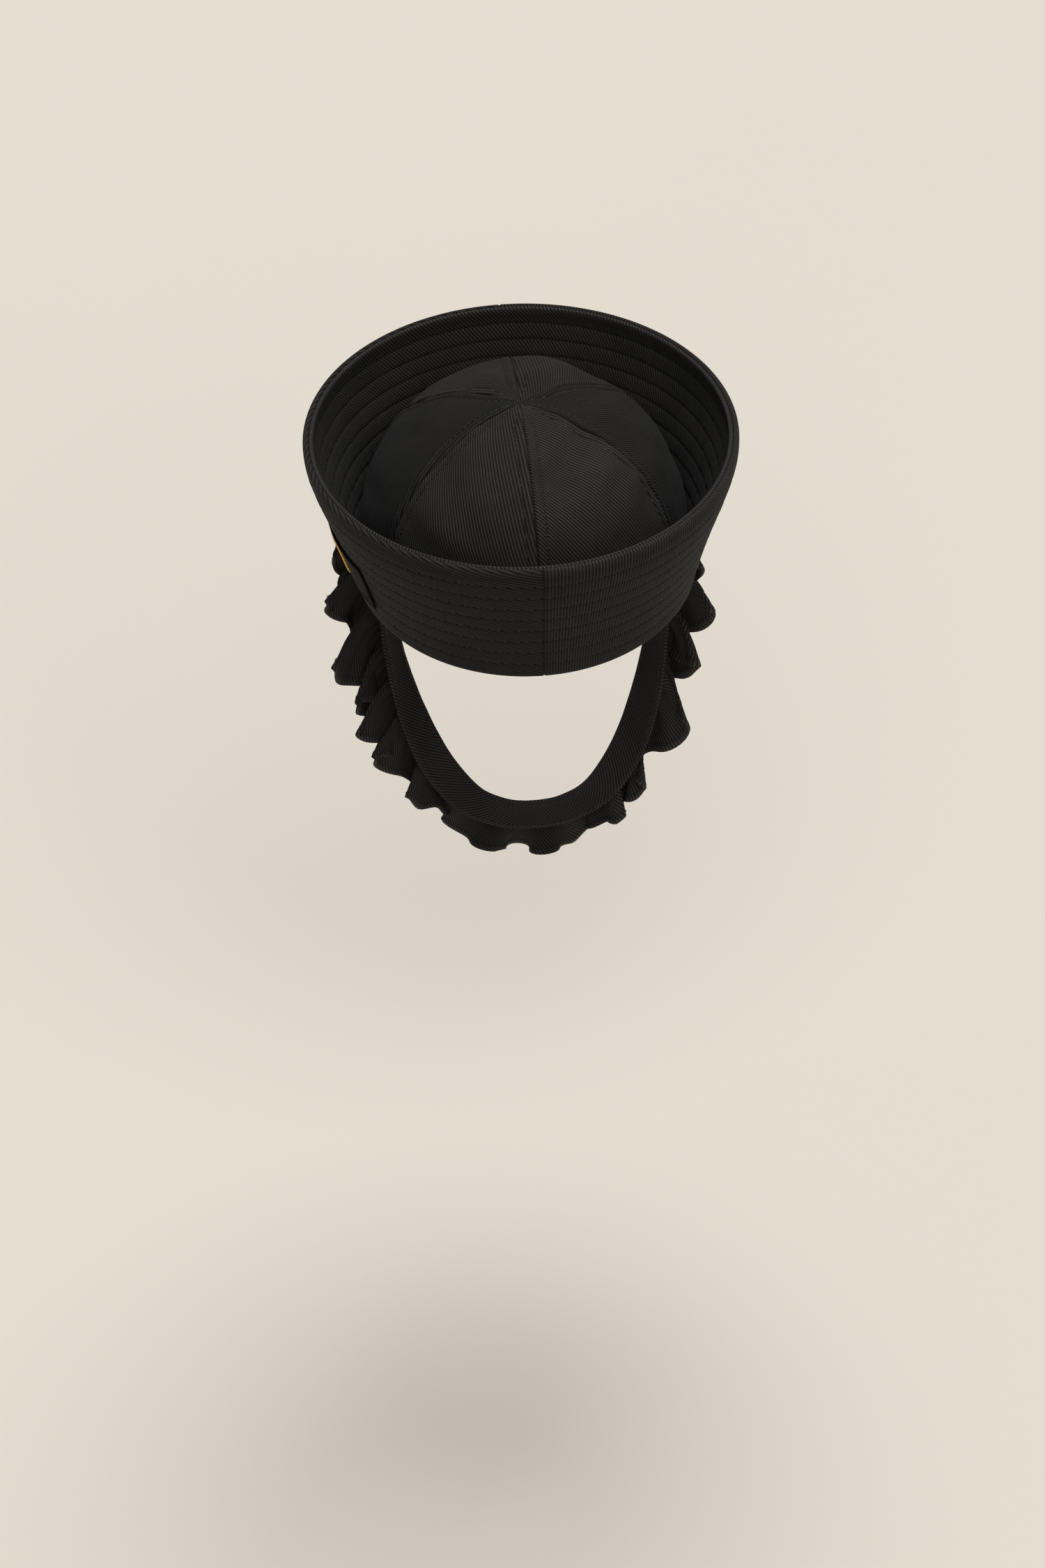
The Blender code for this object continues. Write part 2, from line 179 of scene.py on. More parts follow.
# Angle from sideways to backward that the crown's wall faces at the strap
LOOP_TURN = math.atan2(LOOP_BACK / INSIDE_HALF_LENGTH ** 2, LOOP_WALL / INSIDE_HALF_WIDTH ** 2)
RUFFLE_WIDTH = 0.0400        # the reach and fall of the folds are shares of this
RUFFLE_DEPTH = 0.0340        # its cloth from root to free edge
FOLD_DEPTH = 0.0120          # the fore of the folds is a share of this
RUFFLE_KNEE = 0.0110         # the cloth leaves its root this far before it bends
LOOP_REACH = 0.006           # share of the loop to each side over which its direction is taken
LOOP_PATH = (
    # drop, spread, back
    (0.00, 1.00, 1.00),
    (0.20, 0.98, 0.92),
    (0.38, 0.94, 0.78),
    (0.52, 0.89, 0.66),
    (0.66, 0.81, 0.50),
    (0.78, 0.71, 0.36),
    (0.88, 0.58, 0.24),
    (0.95, 0.43, 0.14),
    (0.99, 0.22, 0.06),
    (1.00, 0.00, 0.03),
)
RIGHT_FOLDS = (
    # tips of the folds from the crown down: root as a share of half the loop, reach, fall, fore
    (0.066, 0.48, 0.04, -0.3),
    (0.090, 0.54, 0.24, -0.1),
    (0.117, 0.45, 0.48, -0.4),
    (0.147, 0.68, 0.42, 0.8),
    (0.200, 0.40, 0.76, -0.2),
    (0.270, 0.70, 0.66, 1.2),
    (0.330, 0.24, 0.84, 0.2),
    (0.375, 0.52, 0.60, 1.1),
    (0.430, 0.30, 0.82, 0.1),
    (0.465, 0.60, 0.46, 1.1),
    (0.520, 0.20, 0.70, 0.1),
    (0.565, 0.56, 0.34, 0.9),
    (0.640, 0.16, 0.64, 0.0),
    (0.690, 0.38, 0.34, 0.8),
    (0.760, 0.12, 0.44, 0.0),
)
LEFT_FOLDS = (
    # the same
    (0.070, 0.26, 0.44, -0.2),
    (0.105, 0.42, 0.66, 0.3),
    (0.145, 0.32, 0.86, -0.4),
    (0.190, 0.62, 0.78, 0.8),
    (0.265, 0.12, 0.96, 0.0),
    (0.320, 0.42, 0.76, 1.0),
    (0.400, 0.00, 0.92, 0.0),
    (0.500, 0.42, 0.72, 1.0),
    (0.610, -0.10, 0.86, -0.1),
    (0.680, 0.12, 0.66, 0.7),
    (0.745, 0.00, 0.76, -0.1),
    (0.790, 0.22, 0.50, 0.4),
    (0.840, 0.10, 0.50, 0.0),
)
FOLD_STEPS = 14              # points from one fold's tip to the next
ROOMY_FOLD = 0.0090          # a fold with less of the strap than this swings less
NAPE_FOLDS = 3               # behind the neck, between the last ones of both tables
NAPE_OUTER = (0.46, 0.30, -0.9)
NAPE_INNER = (0.30, 0.42, 0.0)
# the ruffle's colour painted darker for how the light falls on it
RUFFLE_PAINTED_LIGHT = 0.86
FOLD_SHADE = 0.34            # how much darker painted shade makes a fold's hollow than its crest

# Label on the outer brim, turns in degrees from the front
PATCH_FRONT = -61.0          # its front end
PATCH_LENGTH = 0.0780
PATCH_LOW = 0.0125           # its lower edge over the brim's
PATCH_HEIGHT = 0.0270
PATCH_BORDER = 0.0020        # the turned edge, up to its row of stitches
PATCH_SHOWN = PATCH_CLOTH * 0.9     # its thickness as it shows
PATCH_STITCH = {"Pitch": 0.0020, "Length": 0.0016, "Width": 0.0004, "Height": 0.0003, "Slant": 0.05}
BAR_LENGTH = 0.0150
BAR_HEIGHT = 0.0190
BAR_STRAND = 0.00024         # radius of a strand of its thread

# Ways of the twill's ribs on the other pieces, in degrees from the way the turn grows
CROWN_RIBS = 118
BAND_RIBS = 45
RUFFLE_RIBS = 50

# Camera and stage, in the cap's frame
AIM = Vector((0, 0, 0.045))
CAMERA_DISTANCE = 1.951
CAMERA_HEIGHT_ANGLE = 32.85
CAMERA_SIDE_ANGLE = -3.85
CAMERA_ROLL = 2.31
IMAGE_HEIGHT = 2250
AIM_PIXEL = 695.7            # row of the image that the aim lies on
FOCAL_PIXELS = 5600
SENSOR = 36                  # millimetres, along the image's height
FLOOR_LEVEL = -0.42
FLOOR_REACH = 12
SUNS = (
    # name, the way it shines from, spread in degrees, power
    ("overhead_light", (0.14, 0.44, 0.88), 36, 1.75),
    ("front_light", (0.08, -0.66, 0.74), 50, 1.50),
)


def linear(code):
    """Linear colour of an sRGB hex value."""
    shares = [int(code[k:k + 2], 16) / 255 for k in (1, 3, 5)]
    return [s / 12.92 if s <= 0.04045 else ((s + 0.055) / 1.055) ** 2.4 for s in shares]


def colour(name, description, code):
    """Colour property with an sRGB hex value as its default."""
    return FloatVectorProperty(
        name=name, description=description, subtype="COLOR", size=3, min=0, max=1, default=linear(code)
    )


def length(name, description, default):
    """Length property in metres."""
    return FloatProperty(name=name, description=description, default=default, min=0, unit="LENGTH")


class SailorCapSizes(bpy.types.PropertyGroup):
    """Fine sizes of the sewing, which the solids leave out."""

    cloth: length("Twill", "Thickness of one layer as it shows", 0.0010)
    first_row: length("First row", "From the brim's edge down to its first row of stitches", 0.0100)
    row_step: length("Row step", "Between two rows of stitches on the brim", 0.0086)
    rows: IntProperty(name="Rows", description="Rows of stitches round the brim", default=8, min=1)
    quilt: length("Quilting", "How far the cloth swells between two rows", 0.00026)
    lip_swell: length("Lip swelling", "How far the cloth swells under the lip", 0.00070)
    ripple: length("Ripple", "Depth of the puckers that the rows leave", 0.00018)
    seam_valley: length("Seam valley", "How deep a seam of the crown sinks in", 0.0014)
    seam_stitch: length("Seam stitching", "From a seam to the row of stitches beside it", 0.0050)
    seam_swell: length("Seam swelling", "How far the turned edge lifts the cloth beside a seam", 0.00050)
    hem: length("Hem", "From the ruffle's free edge to its row of stitches", 0.0020)
    curl: length("Curl", "How far a fold's free edge swings forward and back", 0.0055)
    rounding: length("Rounding", "How far the free edge runs on along the strap at a fold's tip", 0.0013)
    gather: length("Gathers", "Depth of the small gathers at the ruffle's root", 0.0014)
    flutter: length("Flutter", "Depth of the wave that each fold has at its free edge", 0.0020)
    pitch: length("Stitch pitch", "From one stitch to the next", 0.0032)
    stitch: length("Stitch", "Length of a stitch as it shows", 0.0026)
    thread: length("Thread", "Width of the sewing thread as it shows", 0.00055)
    rib: FloatProperty(
        name="Rib pitch", description="Millimetres from one rib to the next", default=1.5, min=0.2
    )


class SailorCapColours(bpy.types.PropertyGroup):
    """Colours of the cloth, the threads and the floor."""

    rib: colour("Rib", "Warp threads on top of the twill", "#3b3937")
    groove: colour("Groove", "Between two ribs of the twill", "#080707")
    # edge colour: partly real wear, partly a painted highlight
    wear_and_highlight: colour("Rubbed edge", "Twill where an edge is rubbed paler", "#4b4641")
    thread: colour("Thread", "Black sewing thread", "#151412")
    patch: colour("Patch", "Woven label patch", "#0b0b0b")
    yellow: colour("Yellow", "Embroidery thread of the label's bar", "#ffc62e")
    # colour inside the floor's painted pool of light
    floor: colour("Floor", "Pale plain floor", "#e3dbcf")


def add(tree, kind, sockets=None, **settings):
    """Adds a node with its settings, and gives its sockets their values or links.

    A node given as a value is linked from its first output in use.
    """
    node = tree.nodes.new(kind)
    for name, value in settings.items():
        setattr(node, name, value)
    for name, value in (sockets or {}).items():
        if isinstance(value, bpy.types.Node):
            value = next(socket for socket in value.outputs if socket.enabled)
        if isinstance(value, bpy.types.NodeSocket):
            tree.links.new(value, node.inputs[name])
        else:
            node.inputs[name].default_value = value
    return node


def new_material(name):
    """Material with an empty node tree, and its tree."""
    material = bpy.data.materials.get(name) or bpy.data.materials.new(name)
    material.use_nodes = True
    material.node_tree.nodes.clear()
    return material, material.node_tree


def wave_scale(millimetres):
    """Scale that gives a band wave texture this period in millimetres."""
    return math.pi / 10 / millimetres


def black_cotton_twill(settings, colours):
    """Piece-dyed cotton twill: dull diagonal ribs that catch the light, paler at edges where it is rubbed
    and where a highlight is painted, its colour scaled by painted light and shade.

    The real ribs are 1.2 to 1.3 mm apart, and they are drawn a little coarser so that they show.
    """
    material, tree = new_material("black_cotton_twill")
    cut = add(tree, "ShaderNodeUVMap", uv_map="cut_mm")
    ribs = add(
        tree, "ShaderNodeTexWave",
        {
            "Vector": cut, "Scale": wave_scale(settings.rib), "Distortion": 0.5, "Detail": 2.0,
            "Detail Scale": 0.35,
        },
        bands_direction="Y",
    ).outputs["Fac"]
    turned = add(tree, "ShaderNodeMapping", {"Vector": cut, "Rotation": (0, 0, math.radians(38))})
    floats = add(
        tree, "ShaderNodeTexWave",
        {"Vector": turned, "Scale": wave_scale(settings.rib * 0.62), "Distortion": 1.4, "Detail": 1.0},
        bands_direction="X",
    ).outputs["Fac"]
    weave = add(tree, "ShaderNodeMix", {"Factor": 0.25, 2: ribs, 3: floats}, data_type="FLOAT")
    clouds = add(
        tree, "ShaderNodeTexNoise", {"Vector": cut, "Scale": 0.035, "Detail": 3.0, "Roughness": 0.55}
    )
    lint = add(
        tree, "ShaderNodeTexNoise", {"Vector": cut, "Scale": 1.1, "Detail": 4.0, "Roughness": 0.75}
    )
    fibre = add(tree, "ShaderNodeMapRange", {"Value": lint, 1: 0.35, 2: 0.75, 3: 0.72, 4: 1.28})
    fade = add(tree, "ShaderNodeMapRange", {"Value": clouds, 1: 0.3, 2: 0.7, 3: 0.86, 4: 1.14})
    uneven = add(tree, "ShaderNodeMath", {0: fibre, 1: fade}, operation="MULTIPLY")
    # painted light and shade: each piece's share, with darker grooves and hollows, scales the colour
    painted_light = add(tree, "ShaderNodeAttribute", attribute_name="painted_light").outputs["Fac"]
    tone_and_painted_light = add(tree, "ShaderNodeMath", {0: uneven, 1: painted_light}, operation="MULTIPLY")
    cloth = add(
        tree, "ShaderNodeMix",
        {"Factor": weave, 6: (*colours.groove, 1), 7: (*colours.rib, 1)}, data_type="RGBA",
    )
    # paler edges: partly real wear, partly a painted highlight
    wear_and_highlight = add(tree, "ShaderNodeAttribute", attribute_name="wear_and_highlight").outputs["Fac"]
    wear_and_highlight_mix = add(tree, "ShaderNodeMath", {0: wear_and_highlight, 1: weave}, operation="MULTIPLY")
    worn_and_highlighted = add(
        tree, "ShaderNodeMix", {"Factor": wear_and_highlight_mix, 6: cloth, 7: (*colours.wear_and_highlight, 1)}, data_type="RGBA"
    )
    shaded = add(tree, "ShaderNodeVectorMath", {0: worn_and_highlighted, "Scale": tone_and_painted_light}, operation="SCALE")
    rough = add(tree, "ShaderNodeMapRange", {"Value": weave, 3: 0.92, 4: 0.72})
    bump = add(tree, "ShaderNodeBump", {"Height": weave, "Strength": 0.75, "Distance": 0.00030})
    fuzz = add(
        tree, "ShaderNodeBump", {"Height": lint, "Strength": 0.35, "Distance": 0.00015, "Normal": bump}
    )
    shader = add(
        tree, "ShaderNodeBsdfPrincipled",
        {
            "Base Color": shaded, "Roughness": rough, "Normal": fuzz, "Specular IOR Level": 0.12,
            "Sheen Weight": 0.02, "Sheen Roughness": 0.45,
        },
    )
    add(tree, "ShaderNodeOutputMaterial", {"Surface": shader})
    return material


def twisted_thread(name, top, deep, wave, gloss):
    """Thread of twisted plies, with its colours on top and between them, and its nodes' values."""
    material, tree = new_material(name)
    place = add(tree, "ShaderNodeTexCoord").outputs["Object"]
    twist = add(
        tree, "ShaderNodeTexWave", {"Vector": place, **wave}, bands_direction="DIAGONAL"
    ).outputs["Fac"]
    base = add(tree, "ShaderNodeMix", {"Factor": twist, 6: (*deep, 1), 7: (*top, 1)}, data_type="RGBA")
    shader = add(tree, "ShaderNodeBsdfPrincipled", {"Base Color": base, **gloss})
    add(tree, "ShaderNodeOutputMaterial", {"Surface": shader})
    return material


def black_polyester_thread(colours):
    """Spun polyester sewing thread: two twisted plies, a little glossier than the cloth.

    The twist is drawn about 2 mm long, coarser than it is, so that it shows.
    """
    deep = [c * 0.55 for c in colours.thread]
    return twisted_thread(
        "black_polyester_thread", colours.thread, deep, {"Scale": 330.0, "Distortion": 1.0},
        {"Roughness": 0.55, "Specular IOR Level": 0.4},
    )


def yellow_rayon_thread(colours):
    """Rayon embroidery thread: silky and bright along its length, deeper between the strands.

    The twist is drawn about 1.5 mm long, coarser than it is, so that it shows.
    """
    deep = [c * share for c, share in zip(colours.yellow, (0.80, 0.7, 0.5))]
    return twisted_thread(
        "yellow_rayon_thread", colours.yellow, deep, {"Scale": 420.0, "Distortion": 2.0, "Detail": 2.0},
        {"Roughness": 0.38, "Sheen Weight": 0.2, "Sheen Roughness": 0.3},
    )


def woven_patch_cloth(colours):
    """Dense woven label tape: fine ribs both ways, smoother and blacker than the twill.

    Its threads are too fine to show, so they are drawn 0.9 and 0.7 mm apart.
    """
    material, tree = new_material("black_woven_label_tape")
    cut = add(tree, "ShaderNodeUVMap", uv_map="cut_mm")
    picks = add(
        tree, "ShaderNodeTexWave", {"Vector": cut, "Scale": wave_scale(0.9), "Distortion": 0.5},
        bands_direction="Y",
    ).outputs["Fac"]
    ends = add(
        tree, "ShaderNodeTexWave", {"Vector": cut, "Scale": wave_scale(0.7), "Distortion": 0.5},
        bands_direction="X",
    ).outputs["Fac"]
    weave = add(tree, "ShaderNodeMath", {0: picks, 1: ends}, operation="MULTIPLY")
    pale = [c * 2.2 for c in colours.patch]
    base = add(
        tree, "ShaderNodeMix", {"Factor": weave, 6: (*colours.patch, 1), 7: (*pale, 1)}, data_type="RGBA"
    )
    bump = add(tree, "ShaderNodeBump", {"Height": weave, "Strength": 0.6, "Distance": 0.00015})
    shader = add(
        tree, "ShaderNodeBsdfPrincipled",
        {"Base Color": base, "Roughness": 0.85, "Normal": bump, "Specular IOR Level": 0.12},
    )
    add(tree, "ShaderNodeOutputMaterial", {"Surface": shader})
    return material


def painted_board(colours):
    """Matt board with a painted pool of light: pale and even round the cap, grey farther out so that
    little bounces up.
    """
    material, tree = new_material("matt_painted_board")
    place = add(tree, "ShaderNodeTexCoord").outputs["Object"]
    cloud = add(tree, "ShaderNodeTexNoise", {"Vector": place, "Scale": 1.5, "Detail": 3.0})
    pale = [min(1, c * 1.03) for c in colours.floor]
    near = add(
        tree, "ShaderNodeMix", {"Factor": cloud, 6: (*colours.floor, 1), 7: (*pale, 1)}, data_type="RGBA"
    )
    centred = add(tree, "ShaderNodeMapping", {"Vector": place, "Location": (0, -0.65, 0)})
    away = add(tree, "ShaderNodeVectorMath", {0: centred}, operation="LENGTH")
    # painted pool of light: the board turns grey from 1.3 to 1.75 m from its middle
    far = add(
        tree, "ShaderNodeMapRange", {"Value": away, 1: 1.30, 2: 1.75}, interpolation_type="SMOOTHSTEP"
    )
    grey = [c * 0.45 for c in colours.floor]
    base = add(tree, "ShaderNodeMix", {"Factor": far, 6: near, 7: (*grey, 1)}, data_type="RGBA")
    shader = add(
        tree, "ShaderNodeBsdfPrincipled", {"Base Color": base, "Roughness": 0.9, "Specular IOR Level": 0.2}
    )
    add(tree, "ShaderNodeOutputMaterial", {"Surface": shader})
    return material


def oval(half_width, half_length, turn):
    """Points of an oval, turned in degrees from the front towards the wearer's left."""
    angle = np.radians(turn)
    return np.stack([half_width * np.sin(angle), -half_length * np.cos(angle), np.zeros_like(angle)], -1)


def unit(vectors):
    """Vectors made one long."""
    return vectors / np.maximum(np.linalg.norm(vectors, axis=-1, keepdims=True), 1e-12)


def smooth_line(rows, count, fullness=0.5):
    """Cardinal curve through rows of values, rounder at each row the fuller it is."""
    rows = np.asarray(rows, float)
    padded = np.vstack([2 * rows[0] - rows[1], rows, 2 * rows[-1] - rows[-2]])
    t = np.linspace(0, 1, count, endpoint=False)[:, None]
    spans = []
    for a, b, c, d in zip(padded, padded[1:], padded[2:], padded[3:]):
        leave, arrive = fullness * (c - a), fullness * (d - b)
        spans.append(
            b * (2 * t ** 3 - 3 * t ** 2 + 1) + c * (3 * t ** 2 - 2 * t ** 3)
            + leave * (t ** 3 - 2 * t ** 2 + t) + arrive * (t ** 3 - t ** 2)
        )
    return np.vstack(spans + [rows[-1:]])


def run_lengths(points):
    """Length along a line up to each of its points."""
    steps = np.linalg.norm(np.diff(points, axis=0), axis=1)
    return np.concatenate([[0.0], np.cumsum(steps)])


def bell(distance, width):
    """Share that is 1 in the middle and falls off on both sides, to about a third at this width."""
    return np.exp(-(distance / width) ** 2)


def grid_normals(grid, closed=False):
    """Outward normals of a grid whose columns go round with the turn and whose rows go up."""
    if closed:
        around = np.roll(grid, -1, axis=1) - np.roll(grid, 1, axis=1)
    else:
        around = np.gradient(grid, axis=1)
    return unit(np.cross(around, np.gradient(grid, axis=0)))


def ripple(across, along, size, seed):
    """Soft uneven waves of about one size, between -1 and 1, from crossing sines."""
    total = 0
    for k in range(5):
        angle = 2.4 * k + seed
        stretch = 1 + 0.37 * math.sin(1.7 * k + seed)
        phase = 4.1 * k * seed + k
        place = (across * math.cos(angle) + along * math.sin(angle)) * stretch / size
        total = total + np.sin(2 * math.pi * place + phase)
    return total / 4


def cut_places(across, along, ribs):
    """Cutting coordinates in millimetres, turned so that the first runs along the ribs."""
    angle = math.radians(ribs)
    first = across * math.cos(angle) + along * math.sin(angle)
    second = along * math.cos(angle) - across * math.sin(angle)
    return np.stack([first, second], -1) * 1000


def cloth_piece(name, grid, cut, thickness, material, wear_and_highlight=0.0, hem=None, closed=False, painted_light=1.0):
    """Cloth through a grid of points, thickened both ways. Hem is 1 where the cloth is turned.

    Wear and highlight is how much paler the cloth is at an edge, partly from real wear and partly as a
    painted highlight. Painted light is the share that scales its colour: painted light and shade for how
    the light falls on the piece and in its grooves and hollows.
    """
    rows, columns = grid.shape[:2]
    i, j = np.meshgrid(np.arange(rows - 1), np.arange(columns if closed else columns - 1), indexing="ij")
    corners = [(i, j), (i, j + 1), (i + 1, j + 1), (i + 1, j)]
    faces = np.stack([a * columns + b % columns for a, b in corners], -1).reshape(-1, 4)
    places = np.stack([cut[a, b] for a, b in corners], -2).reshape(-1, 2)
    mesh = bpy.data.meshes.new(name)
    mesh.from_pydata(grid.reshape(-1, 3), [], faces.tolist())
    mesh.uv_layers.new(name="cut_mm").data.foreach_set("uv", places.astype(np.float32).ravel())
    for label, share in (("wear_and_highlight", wear_and_highlight), ("painted_light", painted_light)):
        values = np.full((rows, columns), share, np.float32)
        mesh.attributes.new(label, "FLOAT", "POINT").data.foreach_set("value", values.ravel())
    mesh.shade_smooth()
    mesh.materials.append(material)
    piece = bpy.data.objects.new(name + "_cloth", mesh)
    bpy.context.scene.collection.objects.link(piece)
    wall = piece.modifiers.new("Thickness", "SOLIDIFY")
    wall.thickness = thickness
    wall.offset = 0
    if hem is not None:
        turned = piece.vertex_groups.new(name="hem")
        for index, weight in enumerate(np.broadcast_to(hem, (rows, columns)).ravel()):
            turned.add([index], float(weight), "REPLACE")
        wall.vertex_group = turned.name
        wall.thickness_vertex_group = THIN_SHARE
    return piece


def settle(piece, node):
    """Lets a finished piece ride with the cap in place of its solid."""
    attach(piece, "root")
    if node:
        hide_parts(node)


def open_group(name, kinds):
    """Empty geometry node group with inputs of these kinds, and its input sockets."""
    tree = bpy.data.node_groups.new(name, "GeometryNodeTree")
    for label, kind in kinds.items():
        tree.interface.new_socket(label, in_out="INPUT", socket_type="NodeSocket" + kind)
    tree.interface.new_socket("Grown", in_out="OUTPUT", socket_type="NodeSocketGeometry")
    return tree, add(tree, "NodeGroupInput").outputs


def close_group(tree, shape, material):
    """Makes what the group grew real and smooth, with its material, and gives it out."""
    real = add(tree, "GeometryNodeRealizeInstances", {"Geometry": shape})
    smooth = add(tree, "GeometryNodeSetShadeSmooth", {"Geometry": real})
    done = add(tree, "GeometryNodeSetMaterial", {"Geometry": smooth, "Material": material})
    add(tree, "NodeGroupOutput", {"Grown": done})
    return tree


def stitch_tree():
    """Node group that lays one small rounded stitch after another along each line of a mesh."""
    name = "Stitch run"
    if name in bpy.data.node_groups:
        return bpy.data.node_groups[name]
    tree, given = open_group(name, {
        "Line": "Geometry", "Pitch": "Float", "Length": "Float", "Width": "Float", "Height": "Float",
        "Slant": "Float", "Seed": "Int", "Material": "Material",
    })
    run = add(tree, "GeometryNodeMeshToCurve", {"Mesh": given["Line"]})
    places = add(
        tree, "GeometryNodeResampleCurve", {"Curve": run, "Length": given["Pitch"]}, mode="LENGTH"
    )
    outward = add(tree, "GeometryNodeInputNamedAttribute", {"Name": "outward"}, data_type="FLOAT_VECTOR")
    along = add(tree, "GeometryNodeInputTangent")
    seat = add(
        tree, "FunctionNodeAxesToRotation", {"Primary Axis": outward, "Secondary Axis": along},
        primary_axis="Z", secondary_axis="X",
    )
    slant = add(tree, "ShaderNodeCombineXYZ", {"Z": given["Slant"]})
    jitter = add(
        tree, "FunctionNodeRandomValue",
        {0: (-0.03, -0.03, -0.07), 1: (0.03, 0.03, 0.07), "Seed": given["Seed"]}, data_type="FLOAT_VECTOR",
    )
    lean = add(tree, "ShaderNodeVectorMath", {0: slant, 1: jitter}, operation="ADD")
    turn = add(
        tree, "FunctionNodeRotateRotation", {"Rotation": seat, "Rotate By": lean}, rotation_space="LOCAL"
    )
    ball = add(tree, "GeometryNodeMeshUVSphere", {"Segments": 6, "Rings": 4, "Radius": 0.5})
    size = add(
        tree, "ShaderNodeCombineXYZ", {"X": given["Length"], "Y": given["Width"], "Z": given["Height"]}
    )
    stitch = add(tree, "GeometryNodeTransform", {"Geometry": ball, "Scale": size})
    stretch = add(
        tree, "FunctionNodeRandomValue",
        {0: (0.88, 0.9, 0.85), 1: (1.06, 1.1, 1.1), "Seed": given["Seed"]}, data_type="FLOAT_VECTOR",
    )
    laid = add(
        tree, "GeometryNodeInstanceOnPoints",
        {"Points": places, "Instance": stitch, "Rotation": turn, "Scale": stretch},
    )
    return close_group(tree, laid, given["Material"])


def strand_tree():
    """Node group that makes a round strand of thread along each line of a mesh."""
    name = "Laid strands"
    if name in bpy.data.node_groups:
        return bpy.data.node_groups[name]
    tree, given = open_group(
        name, {"Line": "Geometry", "Radius": "Float", "Sides": "Int", "Material": "Material"}
    )
    run = add(tree, "GeometryNodeMeshToCurve", {"Mesh": given["Line"]})
    ring = add(
        tree, "GeometryNodeCurvePrimitiveCircle", {"Resolution": given["Sides"], "Radius": given["Radius"]}
    )
    tube = add(tree, "GeometryNodeCurveToMesh", {"Curve": run, "Profile Curve": ring, "Fill Caps": True})
    return close_group(tree, tube, given["Material"])


def grow(name, lines, tree, values):
    """Mesh that a node group grows along lines, each a run of points with their outward normals."""
    points = np.vstack([run for run, outward in lines])
    normals = np.vstack([outward for run, outward in lines])
    edges = []
    start = 0
    for run, outward in lines:
        edges += [(start + k, start + k + 1) for k in range(len(run) - 1)]
        start += len(run)
    mesh = bpy.data.meshes.new(name)
    mesh.from_pydata(points, edges, [])
    mesh.attributes.new("outward", "FLOAT_VECTOR", "POINT").data.foreach_set(
        "vector", normals.astype(np.float32).ravel()
    )
    piece = bpy.data.objects.new(name, mesh)
    bpy.context.scene.collection.objects.link(piece)
    modifier = piece.modifiers.new(tree.name, "NODES")
    modifier.node_group = tree
    for label, value in values.items():
        modifier[tree.interface.items_tree[label].identifier] = value
    seen = bpy.context.evaluated_depsgraph_get()
    grown = bpy.data.meshes.new_from_object(piece.evaluated_get(seen), depsgraph=seen)
    piece.modifiers.remove(modifier)
    piece.data = grown
    bpy.data.meshes.remove(mesh)
    grown.name = name
    if not len(grown.polygons):
        raise RuntimeError(name + " came out empty")
    return piece


def sew(name, lines, sizes, colours, slant=0.06, seed=3):
    """Rows of black stitches along lines, riding with the cap."""
    values = {
        "Pitch": sizes.pitch, "Length": sizes.stitch, "Width": sizes.thread, "Height": sizes.thread * 0.7,
        "Slant": slant, "Seed": seed, "Material": black_polyester_thread(colours),
    }
    piece = grow(name, lines, stitch_tree(), values)
    settle(piece, None)
    return piece


def seam_relief(distance, sizes):
    """Height beside a seam: a valley, the lift of the turned edge and the groove of its stitches."""
    valley = -sizes.seam_valley * bell(distance, SEAM_WIDTH)
    lift = sizes.seam_swell / (1 + np.exp((distance - sizes.seam_stitch - 0.0003) / 0.00035))
    groove = -0.00055 * bell(distance - sizes.seam_stitch, 0.00055)
    return valley + lift + groove


def thread_seat(sizes):
    """Height of a stitch's middle over the middle of the twill."""
    return sizes.cloth / 2 + sizes.thread * 0.12


def shaded(distance, width, depth):
    """Share of the cloth's colour left beside the middle of a groove, where shade is painted in."""
    return 1 - depth * bell(distance, width)


def crown_points(turn, climb, swell):
    """Points of the crown at turns and climbs in degrees, swollen between seams by a share."""
    lift = np.radians(climb)
    power = 2 / CROWN_SQUARENESS
    spread = np.cos(lift) ** power
    rise = np.sin(lift) ** power
    push = PANEL_PUFF * swell * np.sin(2 * lift)
    for dent_turn, dent_climb, dent_spread, depth in CROWN_DENTS:
        around = (turn - dent_turn + 180) % 360 - 180
        off = np.hypot(around * np.cos(lift), climb - dent_climb)
        push = push - DENT_DEPTH * depth * bell(off, dent_spread)
    points = oval(CROWN_HALF_WIDTH * spread, CROWN_HALF_LENGTH * spread, turn)
    outward = oval(np.cos(lift), np.cos(lift), turn)
    outward[..., 2] = np.sin(lift)
    points[..., 1] -= CROWN_LEAN * rise ** 2
    points[..., 2] = CROWN_FOOT + (CROWN_TOP - CROWN_FOOT) * rise
    return points + outward * push[..., None]


def puff(turn, first):
    """Swelling of the panel that begins at this turn, from 0 at its seams to 1 between them."""
    return np.sin(np.pi * (turn - first) / PANEL_TURN)


def crown_climbs():
    """Climbs in degrees that lie evenly along the crown from its foot to its point."""
    climb = np.linspace(0, 89.98, 900)
    lengths = run_lengths(crown_points(np.zeros_like(climb), climb, np.zeros_like(climb)))
    wanted = np.linspace(0, lengths[-1], CROWN_ROWS)
    return np.interp(wanted, lengths, climb), wanted


def seam_steps(half, sizes):
    """Distances from one seam to the middle of a panel, close together beside the seam."""
    stitch = sizes.seam_stitch
    near = np.array([
        0.00001, 0.0004, 0.0008, 0.0013, 0.0019, stitch - 0.0006, stitch - 0.0003, stitch,
        stitch + 0.0003, stitch + 0.0007, stitch + 0.0014, stitch + 0.0024,
    ])
    scale = min(1.0, 0.7 * half / near[-1])
    middle = np.linspace(near[-1] * scale, half, 19)[1:]
    return np.concatenate([near * scale, middle]), scale


